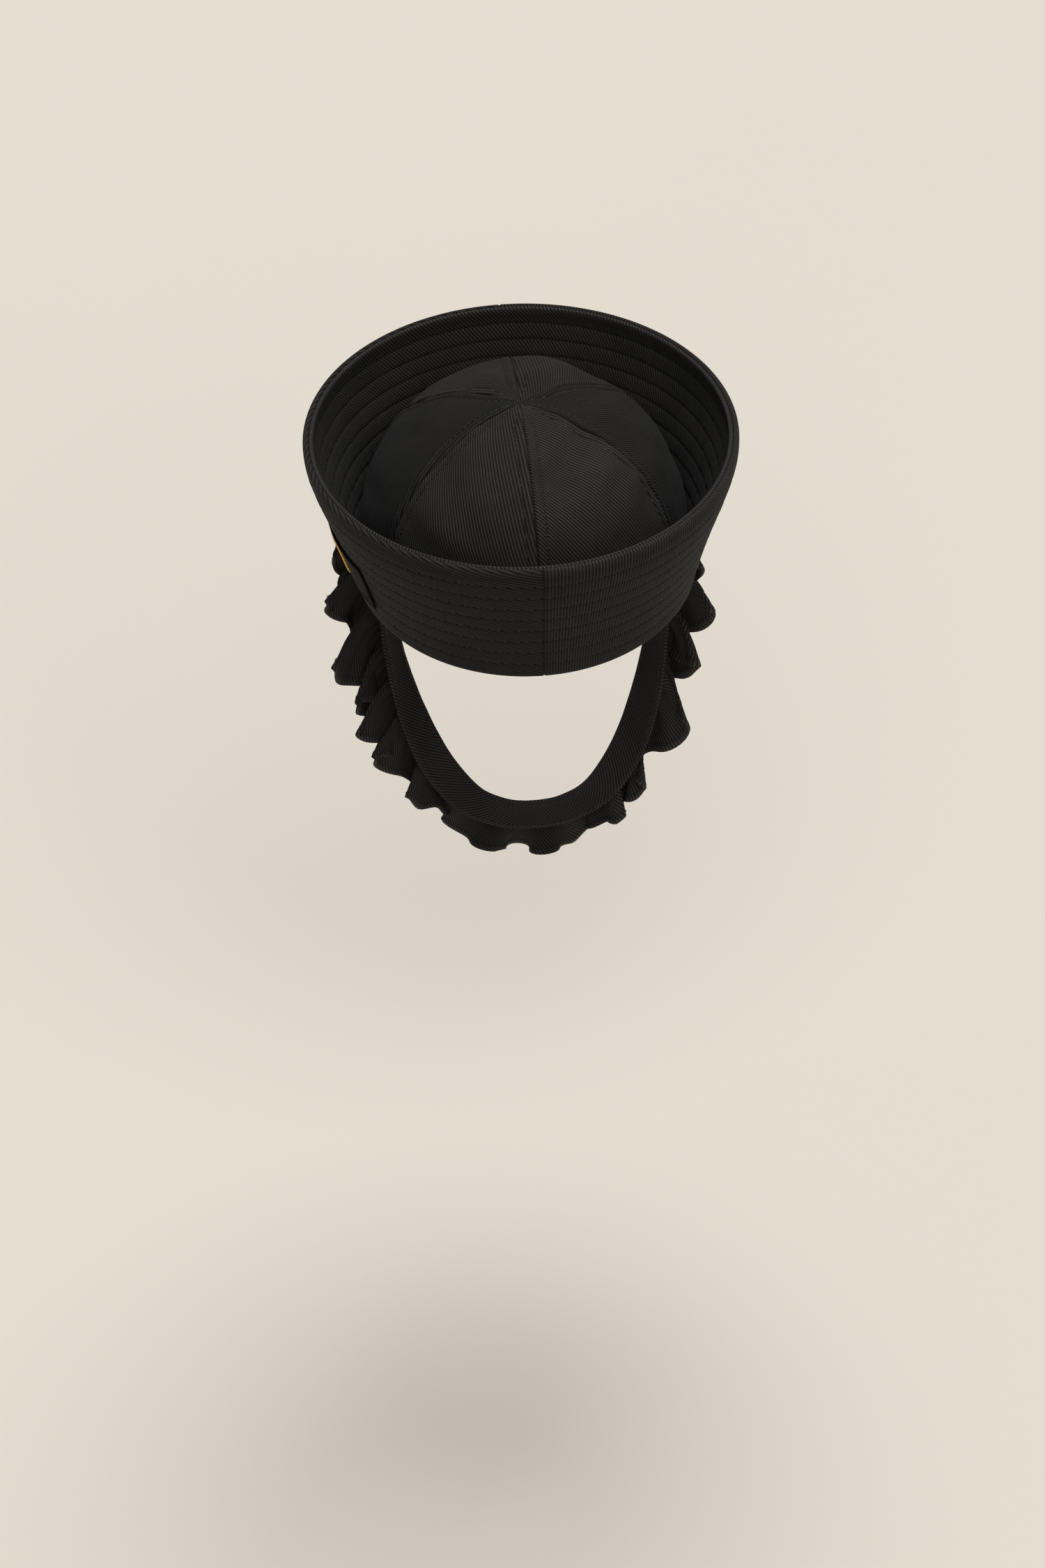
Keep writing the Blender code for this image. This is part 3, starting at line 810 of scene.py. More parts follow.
def panel_places(first, climbs, sizes):
    """Turns, distances from a seam and places across of a panel's points, row by row."""
    rows = []
    for climb in climbs:
        turns = np.linspace(first, first + PANEL_TURN, 121)
        lengths = run_lengths(crown_points(turns, np.full(121, climb), puff(turns, first)))
        steps, scale = seam_steps(lengths[-1] / 2, sizes)
        places = np.concatenate([steps, lengths[-1] - steps[-2::-1]])
        gap = np.minimum(places, lengths[-1] - places) / scale
        rows.append((np.interp(places, lengths, turns), gap, places - lengths[-1] / 2))
    return np.array(rows).transpose(1, 0, 2)


def creases(turn, climb):
    """Depth of the soft creases of the crown at turns and climbs in degrees."""
    total = 0
    for turn_a, climb_a, turn_b, climb_b, spread, depth in CROWN_CREASES:
        shrink = np.cos(np.radians(np.minimum(climb, 84)))
        x = ((turn - turn_a + 180) % 360 - 180) * shrink
        y = climb - climb_a
        bx = (turn_b - turn_a) * math.cos(math.radians((climb_a + climb_b) / 2))
        by = climb_b - climb_a
        part = np.clip((x * bx + y * by) / (bx * bx + by * by), 0, 1)
        away = np.hypot(x - bx * part, y - by * part)
        fade = np.sin(math.pi * np.clip(part, 0.12, 0.88))
        total = total - 0.001 * depth * fade * bell(away, spread)
    return total


def crown_panel(number, name, painted_light, sizes, cloth):
    """Makes one panel of the crown, and gives the two lines of its stitches."""
    climbs, heights = crown_climbs()
    first = number * PANEL_TURN
    turn, gap, across = panel_places(first, climbs, sizes)
    climb, height = climbs[:, None], heights[:, None]
    grid = crown_points(turn, climb, puff(turn, first))
    tight = np.clip((88 - climb) / 8, 0, 1)     # 0 at the very point, where the seams crowd
    relief = seam_relief(gap, sizes) * (0.35 + 0.65 * tight)
    relief += 0.00028 * ripple(across, height, 0.0075, number + 1) * bell(gap, 0.006)
    for k, (depth, size) in enumerate(CROWN_WAVES):
        relief += depth * ripple(across, height, size, number + 2 + k) * tight
    relief += creases(turn, climb)
    grid = grid + grid_normals(grid) * relief[..., None]
    cut = cut_places(across, height, CROWN_RIBS)
    # paler ridge beside each seam: partly wear, partly a painted highlight
    wear_and_highlight = 0.10 * bell(gap - 0.0014, 0.0008)
    # painted shade in each seam's valley and in the grooves of its stitches, on the panel's painted light
    painted_light_and_shade = painted_light * shaded(gap, SEAM_WIDTH, 0.55) * shaded(gap - sizes.seam_stitch, 0.0005, 0.28)
    settle(cloth_piece(name, grid, cut, sizes.cloth, cloth, wear_and_highlight=wear_and_highlight, painted_light=painted_light_and_shade), name)
    normals = grid_normals(grid)[CROWN_ENDS]
    lines = []
    for column in (STITCH_COLUMN, -1 - STITCH_COLUMN):
        outward = normals[:, column]
        lines.append((grid[CROWN_ENDS][:, column] + outward * thread_seat(sizes), outward))
    return lines


class CAP_OT_crown(bpy.types.Operator):
    """Make the six panels of the crown with their seams and stitching"""

    bl_idname = "sailor_cap.crown"
    bl_label = "Crown"

    def execute(self, context):
        sizes = context.scene.cap_sizes
        colours = context.scene.cap_colours
        cloth = black_cotton_twill(sizes, colours)
        stitched = []
        for number, (panel, painted_light) in enumerate(PANELS):
            stitched += crown_panel(number, "crown_" + panel, painted_light, sizes, cloth)
        sew("crown_stitches", stitched, sizes, colours)
        return {"FINISHED"}


def brim_line():
    """Outline of the brim's outer face from its lower edge up: distance out, height and length."""
    rows = [(flare * BRIM_SPREAD, rise * BRIM_HEIGHT) for rise, flare in BRIM_LINE]
    line = smooth_line(rows, 24)
    return line[:, 0], line[:, 1], run_lengths(line)


def brim_rows(sizes):
    """Distances of the brim's rows of stitches below the lip."""
    return sizes.first_row + np.arange(sizes.rows) * sizes.row_step


def brim_steps(sizes, total):
    """Distances below the lip where the brim's rows of points lie, close together at stitches."""
    steps = []
    below = BRIM_CLEAR[0]
    for row in brim_rows(sizes):
        count = max(2, round((row - STITCH_CLEAR - below) / BRIM_STEP))
        steps += list(np.linspace(below, row - STITCH_CLEAR, count, endpoint=False))
        steps += [row - STITCH_CLEAR, row - 0.0003, row, row + 0.0003]
        below = row + STITCH_CLEAR
    last = total - BRIM_CLEAR[1]
    steps += list(np.linspace(below, last, max(2, round((last - below) / BRIM_STEP))))
    return np.array(steps)


def quilting(below, sizes, total, quilt):
    """Swelling between the rows of stitches at distances below the lip."""
    seams = [0.0, *brim_rows(sizes), total]
    swell = np.zeros_like(below)
    for k, (upper, lower) in enumerate(zip(seams, seams[1:])):
        part = (below - upper) / (lower - upper)
        if k == 0:
            raised = sizes.lip_swell * (1 - np.clip(part, 0, 1) ** 4)
        else:
            raised = quilt * (1 - np.abs(2 * part - 1) ** 2.6)
        swell = np.where((below >= upper) & (below < lower), raised, swell)
    return swell


def arc(middle, radius, start, end, count):
    """Points of an arc in the brim's section, from one angle in degrees to another."""
    angle = np.radians(np.linspace(start, end, count))
    return np.stack([middle[0] + radius * np.cos(angle), middle[1] + radius * np.sin(angle)], -1)


def brim_section(sizes, inner):
    """Section of one layer from its foot to the seam on the lip: distance out, height, below."""
    line_out, line_high, lengths = brim_line()
    total = lengths[-1]
    below = brim_steps(sizes, total)[::-1]
    half = sizes.cloth / 2
    swell = quilting(below, sizes, total, sizes.quilt * (INNER_QUILT if inner else 1.0))
    if inner:
        roll = 0.0006
        wall = -TWILL / 2 - LAYER_STEP
        lip_wall = BRIM_SPREAD - 0.0040
        foot = np.array([[wall, CROWN_FOOT]])
        top = BRIM_HEIGHT - half - 0.0002
        lip = np.vstack([
            arc((lip_wall + roll, top - roll), roll, 180, 90, 6),
            arc((lip_wall + roll + 0.00015, top - 0.0005), 0.0005, 80, 0, 5),
            [(lip_wall + roll + 0.00065, top - 0.0012)],
        ])
        swell = -swell
    else:
        roll = 0.0011
        wall = -TWILL / 2
        lip_wall = BRIM_SPREAD + sizes.lip_swell - half
        foot = np.vstack([
            [(-CROWN_INSET - TWILL / 2, half), (-0.0030, half)],
            arc((-TWILL / 2 - 0.0010, half + 0.0010), 0.0010, -90, -10, 5),
        ])
        top = BRIM_HEIGHT - half
        lip = np.vstack([
            arc((lip_wall - roll, top - roll), roll, 0, 90, 8),
            arc((lip_wall - roll - 0.0003, top - 0.0005), 0.0005, 90, 180, 5),
            [(lip_wall - roll - 0.0008, top - 0.0013)],
        ])
    blend = np.clip(1 - (below - 0.0015) / 0.0075, 0, 1) ** 1.5
    out = np.interp(total - below, lengths, line_out)
    out = (out + wall + swell) * (1 - blend) + lip_wall * blend
    high = np.interp(total - below, lengths, line_high)
    section = np.vstack([foot, np.stack([out, high], -1), lip])
    under = np.concatenate([np.full(len(foot), total), below, np.zeros(len(lip))])
    return section, under


def brim_turns(first, last, columns):
    """Turns of a layer's columns, those of a half close together beside its seams."""
    turns = np.linspace(first, last, columns + 1)
    if last - first == 360:
        return turns
    near = np.degrees(np.array([0.00001, 0.0005, 0.0010, 0.0017, 0.0026, 0.0040]) / RIM_HALF_LENGTH)
    return np.concatenate([first + near, turns[4:-4], last - near[::-1]])


def brim_relief(below, around, seam, nearest, sizes, inner):
    """Height of a layer's puckers, of the grooves under its stitches and of its seams.

    Below is the distance from the lip, around the place round the brim, seam the distance from a
    seam, and nearest the distance from a row of stitches.
    """
    total = below.max()
    pull = 0.35 + 0.65 * bell(nearest - 0.0014, 0.0016)
    calm = np.clip((below - 0.003) / 0.006, 0, 1) * np.clip((total - below) / 0.004, 0, 1)
    waves = around[:, -1:] / round(around[0, -1] / 0.0085)
    pucker = np.sin(2 * np.pi * (around / waves + 0.6 * np.sin(below / 0.009)))
    pucker = 0.5 * pucker + 0.7 * ripple(around, below * 0.6, 0.011, 2.0 if inner else 5.0)
    if inner:
        pucker = pucker * np.clip(np.minimum(around, around[:, -1:] - around) / 0.012, 0, 1)
    side = -1 if inner else 1
    depth = sizes.ripple * (2.2 if inner else 0.8)
    relief = side * depth * (0.6 + pucker) * pull * calm
    relief = relief - side * 0.00020 * bell(nearest, 0.00045)
    relief = relief - 0.0006 * bell(seam, 0.0006)
    return relief + 0.0002 * bell(seam - 0.0022, 0.0012) * calm


def brim_layer(layer, sizes, material):
    """Makes one layer of the brim with its rolled lip, and gives the lines of its stitches."""
    name, first, last, ribs, columns, painted_light = layer
    inner = last - first == 360
    side = -1 if inner else 1
    section, under = brim_section(sizes, inner)
    turns = brim_turns(first, last, columns)
    middle = oval(
        (LOWER_HALF_WIDTH + RIM_HALF_WIDTH) / 2, (LOWER_HALF_LENGTH + RIM_HALF_LENGTH) / 2, turns
    )
    out, turn = np.meshgrid(section[:, 0], turns, indexing="ij")
    grid = oval(LOWER_HALF_WIDTH + out, LOWER_HALF_LENGTH + out, turn)
    grid[..., 2] = section[:, 1][:, None]
    below, around = np.meshgrid(under, run_lengths(middle), indexing="ij")
    nearest = np.min(np.abs(below[..., None] - brim_rows(sizes)), axis=-1)
    seam = np.full_like(turn, np.inf)
    if not inner:
        seam = np.minimum(turn - first, last - turn) * math.radians(1) * RIM_HALF_LENGTH
    relief = brim_relief(below, around, seam, nearest, sizes, inner)
    # painted shade along the rows of stitches and in the front seam, on the layer's painted light
    painted_light_and_shade = painted_light * shaded(nearest, 0.0006, 0.22) * shaded(seam, 0.0009, 0.80)
    upward = np.repeat(run_lengths(section)[:, None], len(turns), axis=1)
    cut = cut_places(around, upward, ribs)
    # paler lip: partly wear, partly a painted highlight
    wear_and_highlight = 0.8 * bell(upward[-1] - upward - 0.0028, 0.0022)
    if inner:
        grid, relief, wear_and_highlight, painted_light_and_shade = grid[:, :-1], relief[:, :-1], wear_and_highlight[:, :-1], painted_light_and_shade[:, :-1]
    grid = grid + grid_normals(grid, inner) * relief[..., None]
    piece = cloth_piece(name, grid, cut, sizes.cloth, material, wear_and_highlight=wear_and_highlight, closed=inner, painted_light=painted_light_and_shade)
    settle(piece, name)
    normals = grid_normals(grid, inner)
    lines = []
    for row in brim_rows(sizes):
        index = int(np.argmin(np.abs(under - row)))
        outward = side * normals[index]
        face = grid[index] + outward * thread_seat(sizes)
        if inner:
            face = np.vstack([face, face[:1]])
            outward = np.vstack([outward, outward[:1]])
        lines.append((face, outward))
    return lines


class CAP_OT_brim(bpy.types.Operator):
    """Make the turned-up brim: two outer halves, the inner ring and their rows of stitches"""

    bl_idname = "sailor_cap.brim"
    bl_label = "Brim"

    def execute(self, context):
        sizes = context.scene.cap_sizes
        colours = context.scene.cap_colours
        cloth = black_cotton_twill(sizes, colours)
        left, right, inside = [brim_layer(layer, sizes, cloth) for layer in BRIM_LAYERS]
        sew("brim_outer_stitches", left + right, sizes, colours, seed=11)
        sew("brim_inner_stitches", inside, sizes, colours, seed=17)
        return {"FINISHED"}


def label_middle():
    """Middle of the label as turn and rise, and how many degrees a metre takes there."""
    rise = (PATCH_LOW + PATCH_HEIGHT / 2) / BRIM_HEIGHT
    line_out, line_high, _ = brim_line()
    out = float(np.interp(rise * BRIM_HEIGHT, line_high, line_out))
    per_metre = math.degrees(1 / (LOWER_HALF_LENGTH + out))
    return PATCH_FRONT - PATCH_LENGTH * per_metre / 2, rise, per_metre


def label_face(across, up, stand_off):
    """Points over the outer brim, across and up from the label's middle, in metres."""
    middle_turn, middle_rise, per_metre = label_middle()
    line_out, line_high, _ = brim_line()
    turn = middle_turn + across * per_metre
    high = middle_rise * BRIM_HEIGHT + up
    out = np.interp(high, line_high, line_out) + stand_off * BRIM_SLANT
    points = oval(LOWER_HALF_WIDTH + out, LOWER_HALF_LENGTH + out, turn)
    points[..., 2] = high
    return points


def label_line(across, up, stand_off):
    """Line of points over the outer brim, with the way outward at each."""
    face = label_face(across, up, stand_off)
    return face, unit(label_face(across, up, stand_off + 0.001) - face)


def even_steps(half, edge, count):
    """Places from -half to half, with extra ones at a border this far in from each end."""
    inner = half - edge
    near = np.array([half, half - 0.0004, inner + 0.0004, inner, inner - 0.0004])
    return np.concatenate([-near, np.linspace(-inner + 0.001, inner - 0.001, count), near[::-1]])


class CAP_OT_label(bpy.types.Operator):
    """Make the label: a plain woven patch with a turned edge and one bar of yellow thread"""

    bl_idname = "sailor_cap.label"
    bl_label = "Label"

    def execute(self, context):
        colours = context.scene.cap_colours
        across = even_steps(PATCH_LENGTH / 2, PATCH_BORDER, 60)
        up = even_steps(PATCH_HEIGHT / 2, PATCH_BORDER, 20)
        high, wide = np.meshgrid(up, across, indexing="ij")
        edge = np.minimum(PATCH_LENGTH / 2 - np.abs(wide), PATCH_HEIGHT / 2 - np.abs(high))
        relief = 0.0004 / (1 + np.exp((edge - PATCH_BORDER - 0.0003) / 0.00018))
        relief -= 0.0003 * bell(edge - PATCH_BORDER, 0.0003)
        relief -= 0.0005 * bell(edge, 0.0003)
        relief += 0.00012 * ripple(wide, high, 0.016, 3.0)
        grid = label_face(wide, high, GAP + PATCH_CLOTH / 2 + 0.0001 + relief)
        cut = np.stack([wide, high], -1) * 1000
        patch = cloth_piece("label_patch", grid, cut, PATCH_SHOWN, woven_patch_cloth(colours))
        settle(patch, "label_patch")
        self.sew_border(colours)
        self.lay_bar(colours)
        return {"FINISHED"}

    def sew_border(self, colours):
        """Row of small stitches inside the patch's turned edge."""
        half_length, half_height = PATCH_LENGTH / 2 - PATCH_BORDER, PATCH_HEIGHT / 2 - PATCH_BORDER
        corners = [(-1, -1), (1, -1), (1, 1), (-1, 1), (-1, -1)]
        part = np.linspace(0, 1, 60)
        lift = np.full(60, GAP + PATCH_CLOTH / 2 + PATCH_SHOWN / 2 + 0.00005)
        lines = []
        for (x0, z0), (x1, z1) in zip(corners, corners[1:]):
            wide = half_length * (x0 + (x1 - x0) * part)
            high = half_height * (z0 + (z1 - z0) * part)
            lines.append(label_line(wide, high, lift))
        values = {**PATCH_STITCH, "Seed": 5, "Material": black_polyester_thread(colours)}
        settle(grow("label_stitches", lines, stitch_tree(), values), None)

    def lay_bar(self, colours):
        """Satin stitch: a low padding with strands laid side by side over it."""
        yellow = yellow_rayon_thread(colours)
        points = 18
        base_lift = GAP + PATCH_CLOTH + GAP
        across = np.linspace(-BAR_LENGTH / 2, BAR_LENGTH / 2, 30) * 0.97
        up = np.linspace(-BAR_HEIGHT / 2, BAR_HEIGHT / 2, 36) * 0.97
        high, wide = np.meshgrid(up, across, indexing="ij")
        fall = (2 * np.abs(wide) / BAR_LENGTH) ** 6 + (2 * np.abs(high) / BAR_HEIGHT) ** 8
        grid = label_face(wide, high, base_lift + 0.0003 - 0.0004 * fall)
        cut = np.stack([wide, high], -1) * 1000
        settle(cloth_piece("label_bar", grid, cut, 0.0005, yellow), "label_bar")
        count = round(BAR_HEIGHT / (BAR_STRAND * 1.75))
        lines = []
        for k in range(count):
            level = BAR_HEIGHT * (k / (count - 1) - 0.5)
            uneven = 0.00025 * math.sin(7.3 * k) + 0.00015 * math.sin(2.9 * k + 1)
            wide = np.linspace(-BAR_LENGTH / 2, BAR_LENGTH / 2, points) + uneven
            droop = 0.00006 * np.sin(np.linspace(0, 3, points) + 1.7 * k)
            side = (2 * abs(level) / BAR_HEIGHT) ** 8
            end = np.abs(np.linspace(-1, 1, points)) ** 7
            lift = base_lift + 0.0007 - 0.0006 * end - 0.0003 * side
            lines.append(label_line(wide, level + droop, lift))
        values = {"Radius": BAR_STRAND, "Sides": 8, "Material": yellow}
        settle(grow("label_bar_strands", lines, strand_tree(), values), None)


def loop_rows():
    """Rows of the strap's middle line, from inside the crown at the right round to the left."""
    seat = STRAP_CLOTH / 2 + GAP + STRAP_EASE + COLUMN_SAG
    half_width = LOOP_WALL - seat / math.cos(LOOP_TURN)
    rows = [(-half_width, LOOP_BACK, LOOP_TUCK)]
    for drop, spread, back in LOOP_PATH:
        rows.append((-half_width * spread, LOOP_BACK * back, -LOOP_DROP * drop))
    return rows + [(-x, y, z) for x, y, z in reversed(rows[:-1])]


class Loop:
    """The strap's middle line, measured along its length."""

    def __init__(self):
        self.points = smooth_line(loop_rows(), 24)
        self.lengths = run_lengths(self.points)

    def point(self, share):
        """Points at shares of the whole loop."""
        wanted = np.clip(share, 0, 1) * self.lengths[-1]
        return np.stack([np.interp(wanted, self.lengths, self.points[:, k]) for k in range(3)], -1)

    def along(self, share):
        """Directions of the strap."""
        return unit(self.point(share + LOOP_REACH) - self.point(share - LOOP_REACH))

    def outward(self, share):
        """Directions away from the middle of the loop, square to the strap."""
        along = self.along(share)
        return unit(np.stack([along[..., 2], np.zeros_like(share), -along[..., 0]], -1))

    def facing(self, share):
        """Directions that the band's outer face looks, square to the strap."""
        drop = np.clip(-self.point(share)[..., 2] / LOOP_DROP, 0, 1)
        turn = LOOP_TURN + (math.pi / 2 - LOOP_TURN) * drop ** 2
        side = np.cos(turn) * np.where(share < 0.5, -1, 1)
        face = np.stack([side, np.sin(turn), np.zeros_like(share)], -1)
        along = self.along(share)
        return unit(face - along * np.sum(face * along, -1, keepdims=True))


def both_faces(points, outward, thickness, sizes):
    """Lines of stitches on both faces of a cloth this thick."""
    seat = thickness / 2 + sizes.thread * 0.05
    return [(points + way * outward * seat, way * outward) for way in (-1, 1)]


def band_waves(along, across):
    """Height of the soft waves of the strap's band at places in metres."""
    return 0.00018 * ripple(along, across, 0.016, 4.0)


class CAP_OT_strap(bpy.types.Operator):
    """Make the band of the chin strap with a row of stitches along each edge"""

    bl_idname = "sailor_cap.strap"
    bl_label = "Chin strap"

    def execute(self, context):
        sizes = context.scene.cap_sizes
        colours = context.scene.cap_colours
        loop = Loop()
        share = np.linspace(0, 1, 281)
        row = BAND_STITCH * 2 / BAND_WIDTH
        side = np.array([-1.0, -0.955, -0.88, -row - 0.035, -row, -row + 0.035, -0.5, -0.25, 0.0])
        side = np.concatenate([side, -side[-2::-1]])
        face = loop.facing(share)
        sideways = np.cross(loop.along(share), face)
        middle = loop.point(share)
        along, across = share * loop.lengths[-1], side[:, None] * BAND_WIDTH / 2
        bend = -across ** 2 / (2 * LOWER_HALF_LENGTH) - 0.0002 * bell(abs(across) - BAND_STITCH, 0.0004)
        grid = middle + sideways * across[..., None] + face * bend[..., None]
        grid = grid + face * band_waves(along, across)[..., None]
        cut = cut_places(along, across, BAND_RIBS)
        hem = np.clip(1.15 - np.abs(side) ** 8, 0, 1)[:, None]
        # paler edges of the band: partly wear, partly a painted highlight
        wear_and_highlight = 0.5 * np.abs(side)[:, None] ** 6
        cloth = black_cotton_twill(sizes, colours)
        band = cloth_piece("chin_strap", grid, cut, STRAP_CLOTH, cloth, wear_and_highlight=wear_and_highlight, hem=hem, painted_light=BAND_PAINTED_LIGHT)
        settle(band, "chin_strap")
        lines = []
        for row in (4, -5):
            lines += both_faces(grid[row], face, STRAP_CLOTH, sizes)
        sew("strap_stitches", lines, sizes, colours, seed=23)
        return {"FINISHED"}


def fold_tips():
    """All fold tips along the whole loop, as root, reach, fall and fore."""
    rows = [(root / 2, reach, fall, fore) for root, reach, fall, fore in RIGHT_FOLDS]
    start = RIGHT_FOLDS[-1][0] / 2
    end = 1 - LEFT_FOLDS[-1][0] / 2
    legs = 2 * NAPE_FOLDS
    for k in range(1, legs):
        tip = NAPE_OUTER if k % 2 else NAPE_INNER
        rows.append((start + (end - start) * k / legs, *tip))
    rows += [(1 - root / 2, reach, fall, fore) for root, reach, fall, fore in reversed(LEFT_FOLDS)]
    return rows


def ruffle_lines(loop, sizes):
    """The ruffle's root, knee and free edge, and each point's place among the folds and its room."""
    line = smooth_line(fold_tips(), FOLD_STEPS, 0.8)
    root, reach, fall, fore = line.T
    face, outward = loop.facing(root), loop.outward(root)
    lean = np.sqrt(np.clip((1 - np.sum(face * outward, axis=-1)) / 2, 0, 1))
    seat = STRAP_CLOTH / 2 + ROOT_GAP + RUFFLE_CLOTH / 2 * lean
    gathered = loop.point(root) + face * (seat + band_waves(root * loop.lengths[-1], 0))[:, None]
    knee = gathered + unit(face + outward) * RUFFLE_KNEE
    edge = gathered + outward * (reach * RUFFLE_WIDTH)[:, None]
    edge += np.stack([np.zeros_like(root), -fore * FOLD_DEPTH, -fall * RUFFLE_WIDTH], -1)
    place = np.linspace(0, len(line) / FOLD_STEPS, len(line))
    room = np.clip(np.gradient(root, place) * loop.lengths[-1] / ROOMY_FOLD, 0.3, 1)
    swing = room * (1 + 0.3 * np.sin(1.9 * np.floor(place))) * np.where(root < 0.5, -0.6, 1)
    edge[:, 1] += sizes.curl * swing * np.sin(np.pi * place) * face[:, 0] ** 2
    edge += loop.along(root) * (room * sizes.rounding * np.sin(2 * np.pi * place))[:, None]
    return (gathered, knee, edge), place, room


def ruffle_parts(hem):
    """Shares of the ruffle's depth from its root to its free edge, close together at the hem."""
    near_edge = 1 - np.array([0.0045, 0.0034, hem + 0.0005, hem, hem - 0.0005, 0.0007, 0]) / RUFFLE_DEPTH
    return np.concatenate([np.linspace(0, near_edge[0], 20, endpoint=False), near_edge])


def ruffle_relief(part, place, room, sizes):
    """Height of the gathers at the root, the flutter of the folds, soft waves and the hem's groove."""
    pleats = np.sin(2 * np.pi * place * 2.5 + 0.8 * np.sin(place * 1.3))
    relief = sizes.gather * pleats * np.clip(1 - part * 1.2, 0, 1) * np.clip(part * 9, 0, 1)
    relief += room * sizes.flutter * np.sin(2 * np.pi * place + 1.1 * np.sin(2.3 * place)) * part ** 1.5
    waves = ripple(place * 0.030, part * RUFFLE_DEPTH, 0.017, 6.0)
    relief += 0.00035 * waves * np.clip(part * 3, 0, 1)
    return relief - 0.00018 * bell((1 - part) * RUFFLE_DEPTH - sizes.hem, 0.0004)


class CAP_OT_ruffle(bpy.types.Operator):
    """Make the gathered ruffle with its turned hem"""

    bl_idname = "sailor_cap.ruffle"
    bl_label = "Ruffle"

    def execute(self, context):
        sizes = context.scene.cap_sizes
        colours = context.scene.cap_colours
        (gathered, knee, edge), place, room = ruffle_lines(Loop(), sizes)
        parts = ruffle_parts(sizes.hem)
        bend = parts[:, None, None]
        grid = gathered * (1 - bend) ** 2 + knee * 2 * bend * (1 - bend) + edge * bend ** 2
        part = parts[:, None]
        grid = grid + grid_normals(grid) * ruffle_relief(part, place, room, sizes)[..., None]
        cut = cut_places(run_lengths(grid[-1]), part * RUFFLE_DEPTH, RUFFLE_RIBS)
        from_edge = (1 - part) * RUFFLE_DEPTH
        hem = np.clip((sizes.hem + 0.0006 - from_edge) / 0.0006, 0, 1) + np.clip(1 - part * 14, 0, 1)
        # paler free edge: a painted highlight along the hem, with its wear
        wear_and_highlight = bell(from_edge, 0.0012)
        # painted shade: hollows darker than crests, and darker towards the root
        painted_light = RUFFLE_PAINTED_LIGHT * (1 - FOLD_SHADE * np.cos(np.pi * place)) * (0.8 + 0.2 * part)
        cloth = black_cotton_twill(sizes, colours)
        ruffle = cloth_piece("strap_ruffle", grid, cut, RUFFLE_CLOTH, cloth, wear_and_highlight=wear_and_highlight, hem=hem, painted_light=painted_light)
        settle(ruffle, "strap_ruffle")
        lines = both_faces(grid[-4], grid_normals(grid)[-4], RUFFLE_CLOTH, sizes)
        stitches = sew("ruffle_stitches", lines, sizes, colours, seed=29)
        return {"FINISHED"}


def place_camera():
    """Camera at the height, side and roll that show the cap as it was seen."""
    high, side = math.radians(CAMERA_HEIGHT_ANGLE), math.radians(CAMERA_SIDE_ANGLE)
    sight = Vector((-math.sin(side) * math.cos(high), math.cos(side) * math.cos(high), -math.sin(high)))
    right = sight.cross(Vector((0, 0, 1))).normalized()
    up = right.cross(sight)
    turned = Matrix((right, up, -sight)).transposed()
    tip = math.atan((IMAGE_HEIGHT / 2 - AIM_PIXEL) / FOCAL_PIXELS)
    turned = turned @ Matrix.Rotation(-math.radians(CAMERA_ROLL), 3, "Z") @ Matrix.Rotation(-tip, 3, "X")
    data = bpy.data.cameras.new("camera")
    data.lens = FOCAL_PIXELS * SENSOR / IMAGE_HEIGHT
    data.sensor_width = SENSOR
    camera = bpy.data.objects.new("camera", data)
    camera.matrix_world = Matrix.Translation(AIM - sight * CAMERA_DISTANCE) @ turned.to_4x4()
    bpy.context.scene.collection.objects.link(camera)
    bpy.context.scene.camera = camera


def soft_sun(name, direction, spread, power):
    """Even soft light that shines from one way, its spread in degrees."""
    data = bpy.data.lights.new(name, "SUN")
    data.angle = math.radians(spread)
    data.energy = power
    light = bpy.data.objects.new(name, data)
    light.rotation_euler = Vector(direction).to_track_quat("Z", "Y").to_euler()
    light.location = AIM + Vector(direction)
    bpy.context.scene.collection.objects.link(light)


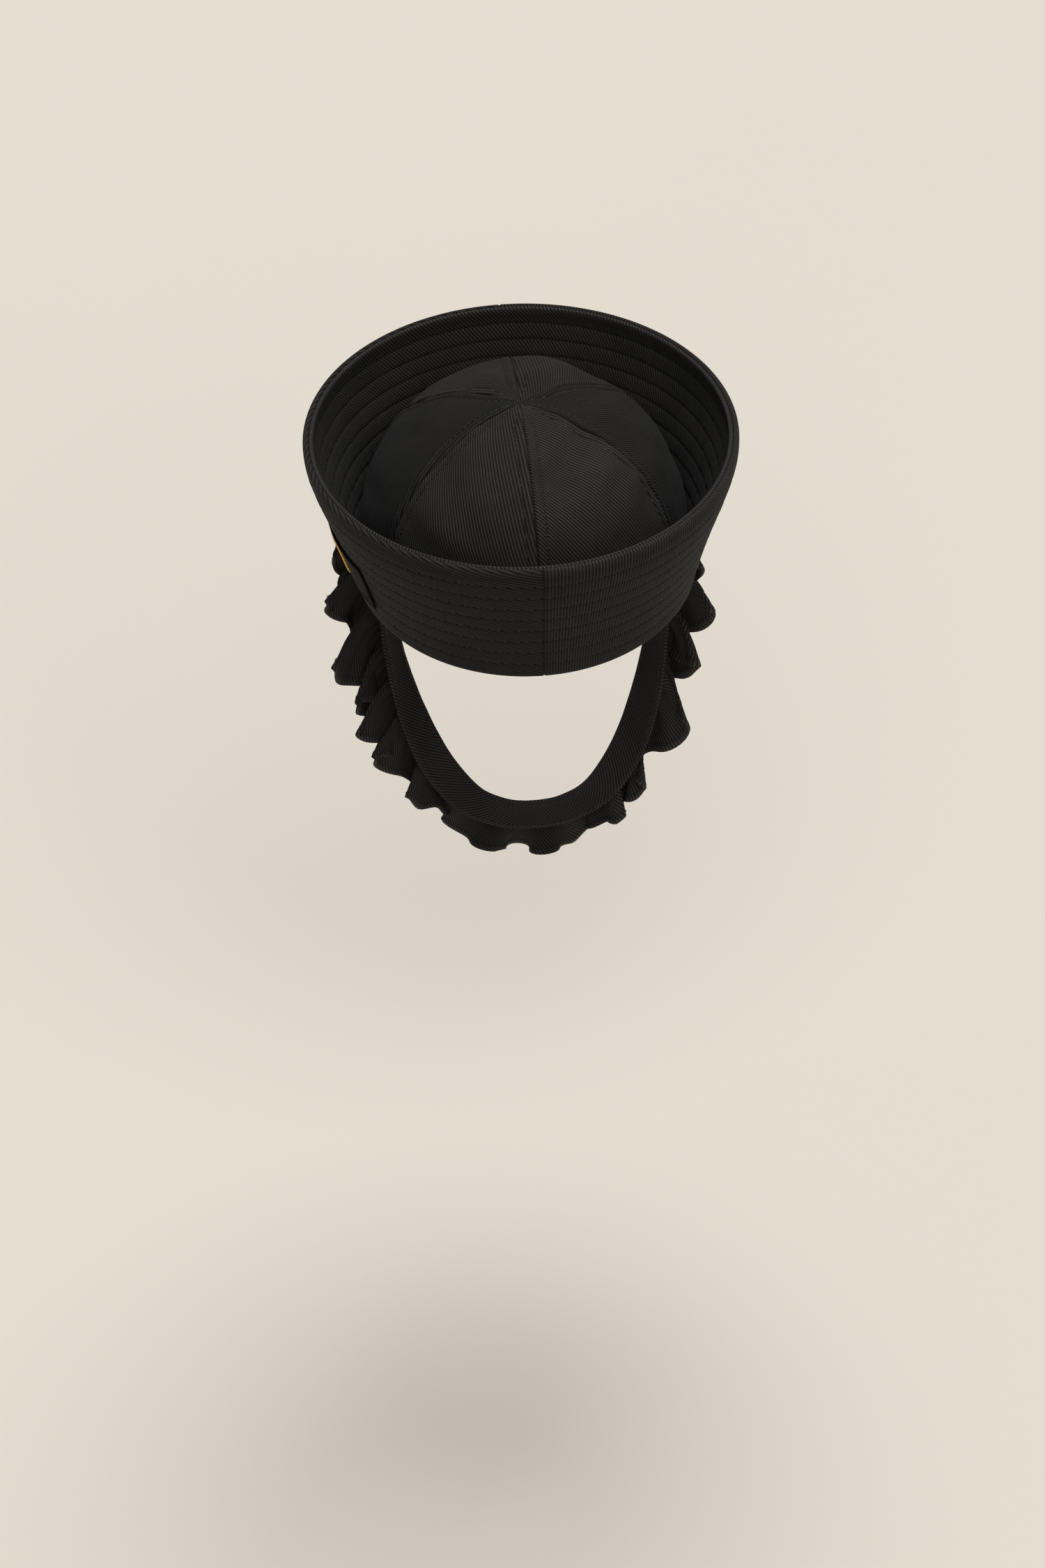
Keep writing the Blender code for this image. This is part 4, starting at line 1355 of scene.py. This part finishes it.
class CAP_OT_stage(bpy.types.Operator):
    """Make the floor with its painted pool of light, the soft studio light and the camera"""

    bl_idname = "sailor_cap.stage"
    bl_label = "Stage"

    def execute(self, context):
        scene = context.scene
        mesh = bpy.data.meshes.new("floor")
        corners = [(-1, -1), (1, -1), (1, 1), (-1, 1)]
        points = [(x * FLOOR_REACH, y * FLOOR_REACH, FLOOR_LEVEL) for x, y in corners]
        mesh.from_pydata(points, [], [(0, 1, 2, 3)])
        mesh.materials.append(painted_board(scene.cap_colours))
        floor = bpy.data.objects.new("floor", mesh)
        scene.collection.objects.link(floor)
        for sun in SUNS:
            soft_sun(*sun)
        world = bpy.data.worlds.new("studio")
        world.use_nodes = True
        glow = world.node_tree.nodes["Background"].inputs
        glow["Color"].default_value = (1.0, 0.98, 0.95, 1)
        glow["Strength"].default_value = 0.16
        scene.world = world
        scene.view_settings.view_transform = "Standard"
        place_camera()
        return {"FINISHED"}


class CAP_PT_panel(bpy.types.Panel):
    """Sidebar panel with the pieces, sizes and colours"""

    bl_idname = "CAP_PT_panel"
    bl_label = "Sailor Cap"
    bl_space_type = "VIEW_3D"
    bl_region_type = "UI"
    bl_category = "Sailor Cap"

    def draw(self, context):
        layout = self.layout
        for made in OPERATORS:
            layout.operator(made.bl_idname)
        for group in (context.scene.cap_sizes, context.scene.cap_colours):
            box = layout.box()
            for name in group.bl_rna.properties.keys():
                if name not in ("rna_type", "name"):
                    box.prop(group, name)


OPERATORS = (CAP_OT_crown, CAP_OT_brim, CAP_OT_label, CAP_OT_strap, CAP_OT_ruffle, CAP_OT_stage)
CLASSES = (SailorCapSizes, SailorCapColours, *OPERATORS, CAP_PT_panel)


def register():
    """Adds the classes and the scene's settings."""
    for made in CLASSES:
        bpy.utils.register_class(made)
    bpy.types.Scene.cap_sizes = PointerProperty(type=SailorCapSizes)
    bpy.types.Scene.cap_colours = PointerProperty(type=SailorCapColours)


def unregister():
    """Removes the scene's settings and the classes."""
    del bpy.types.Scene.cap_colours
    del bpy.types.Scene.cap_sizes
    for made in reversed(CLASSES):
        bpy.utils.unregister_class(made)


def main():
    """Makes the whole cap and its stage."""
    register()
    bpy.ops.sailor_cap.crown()
    bpy.ops.sailor_cap.brim()
    bpy.ops.sailor_cap.label()
    bpy.ops.sailor_cap.strap()
    bpy.ops.sailor_cap.ruffle()
    bpy.ops.sailor_cap.stage()


if __name__ == "__main__":
    main()
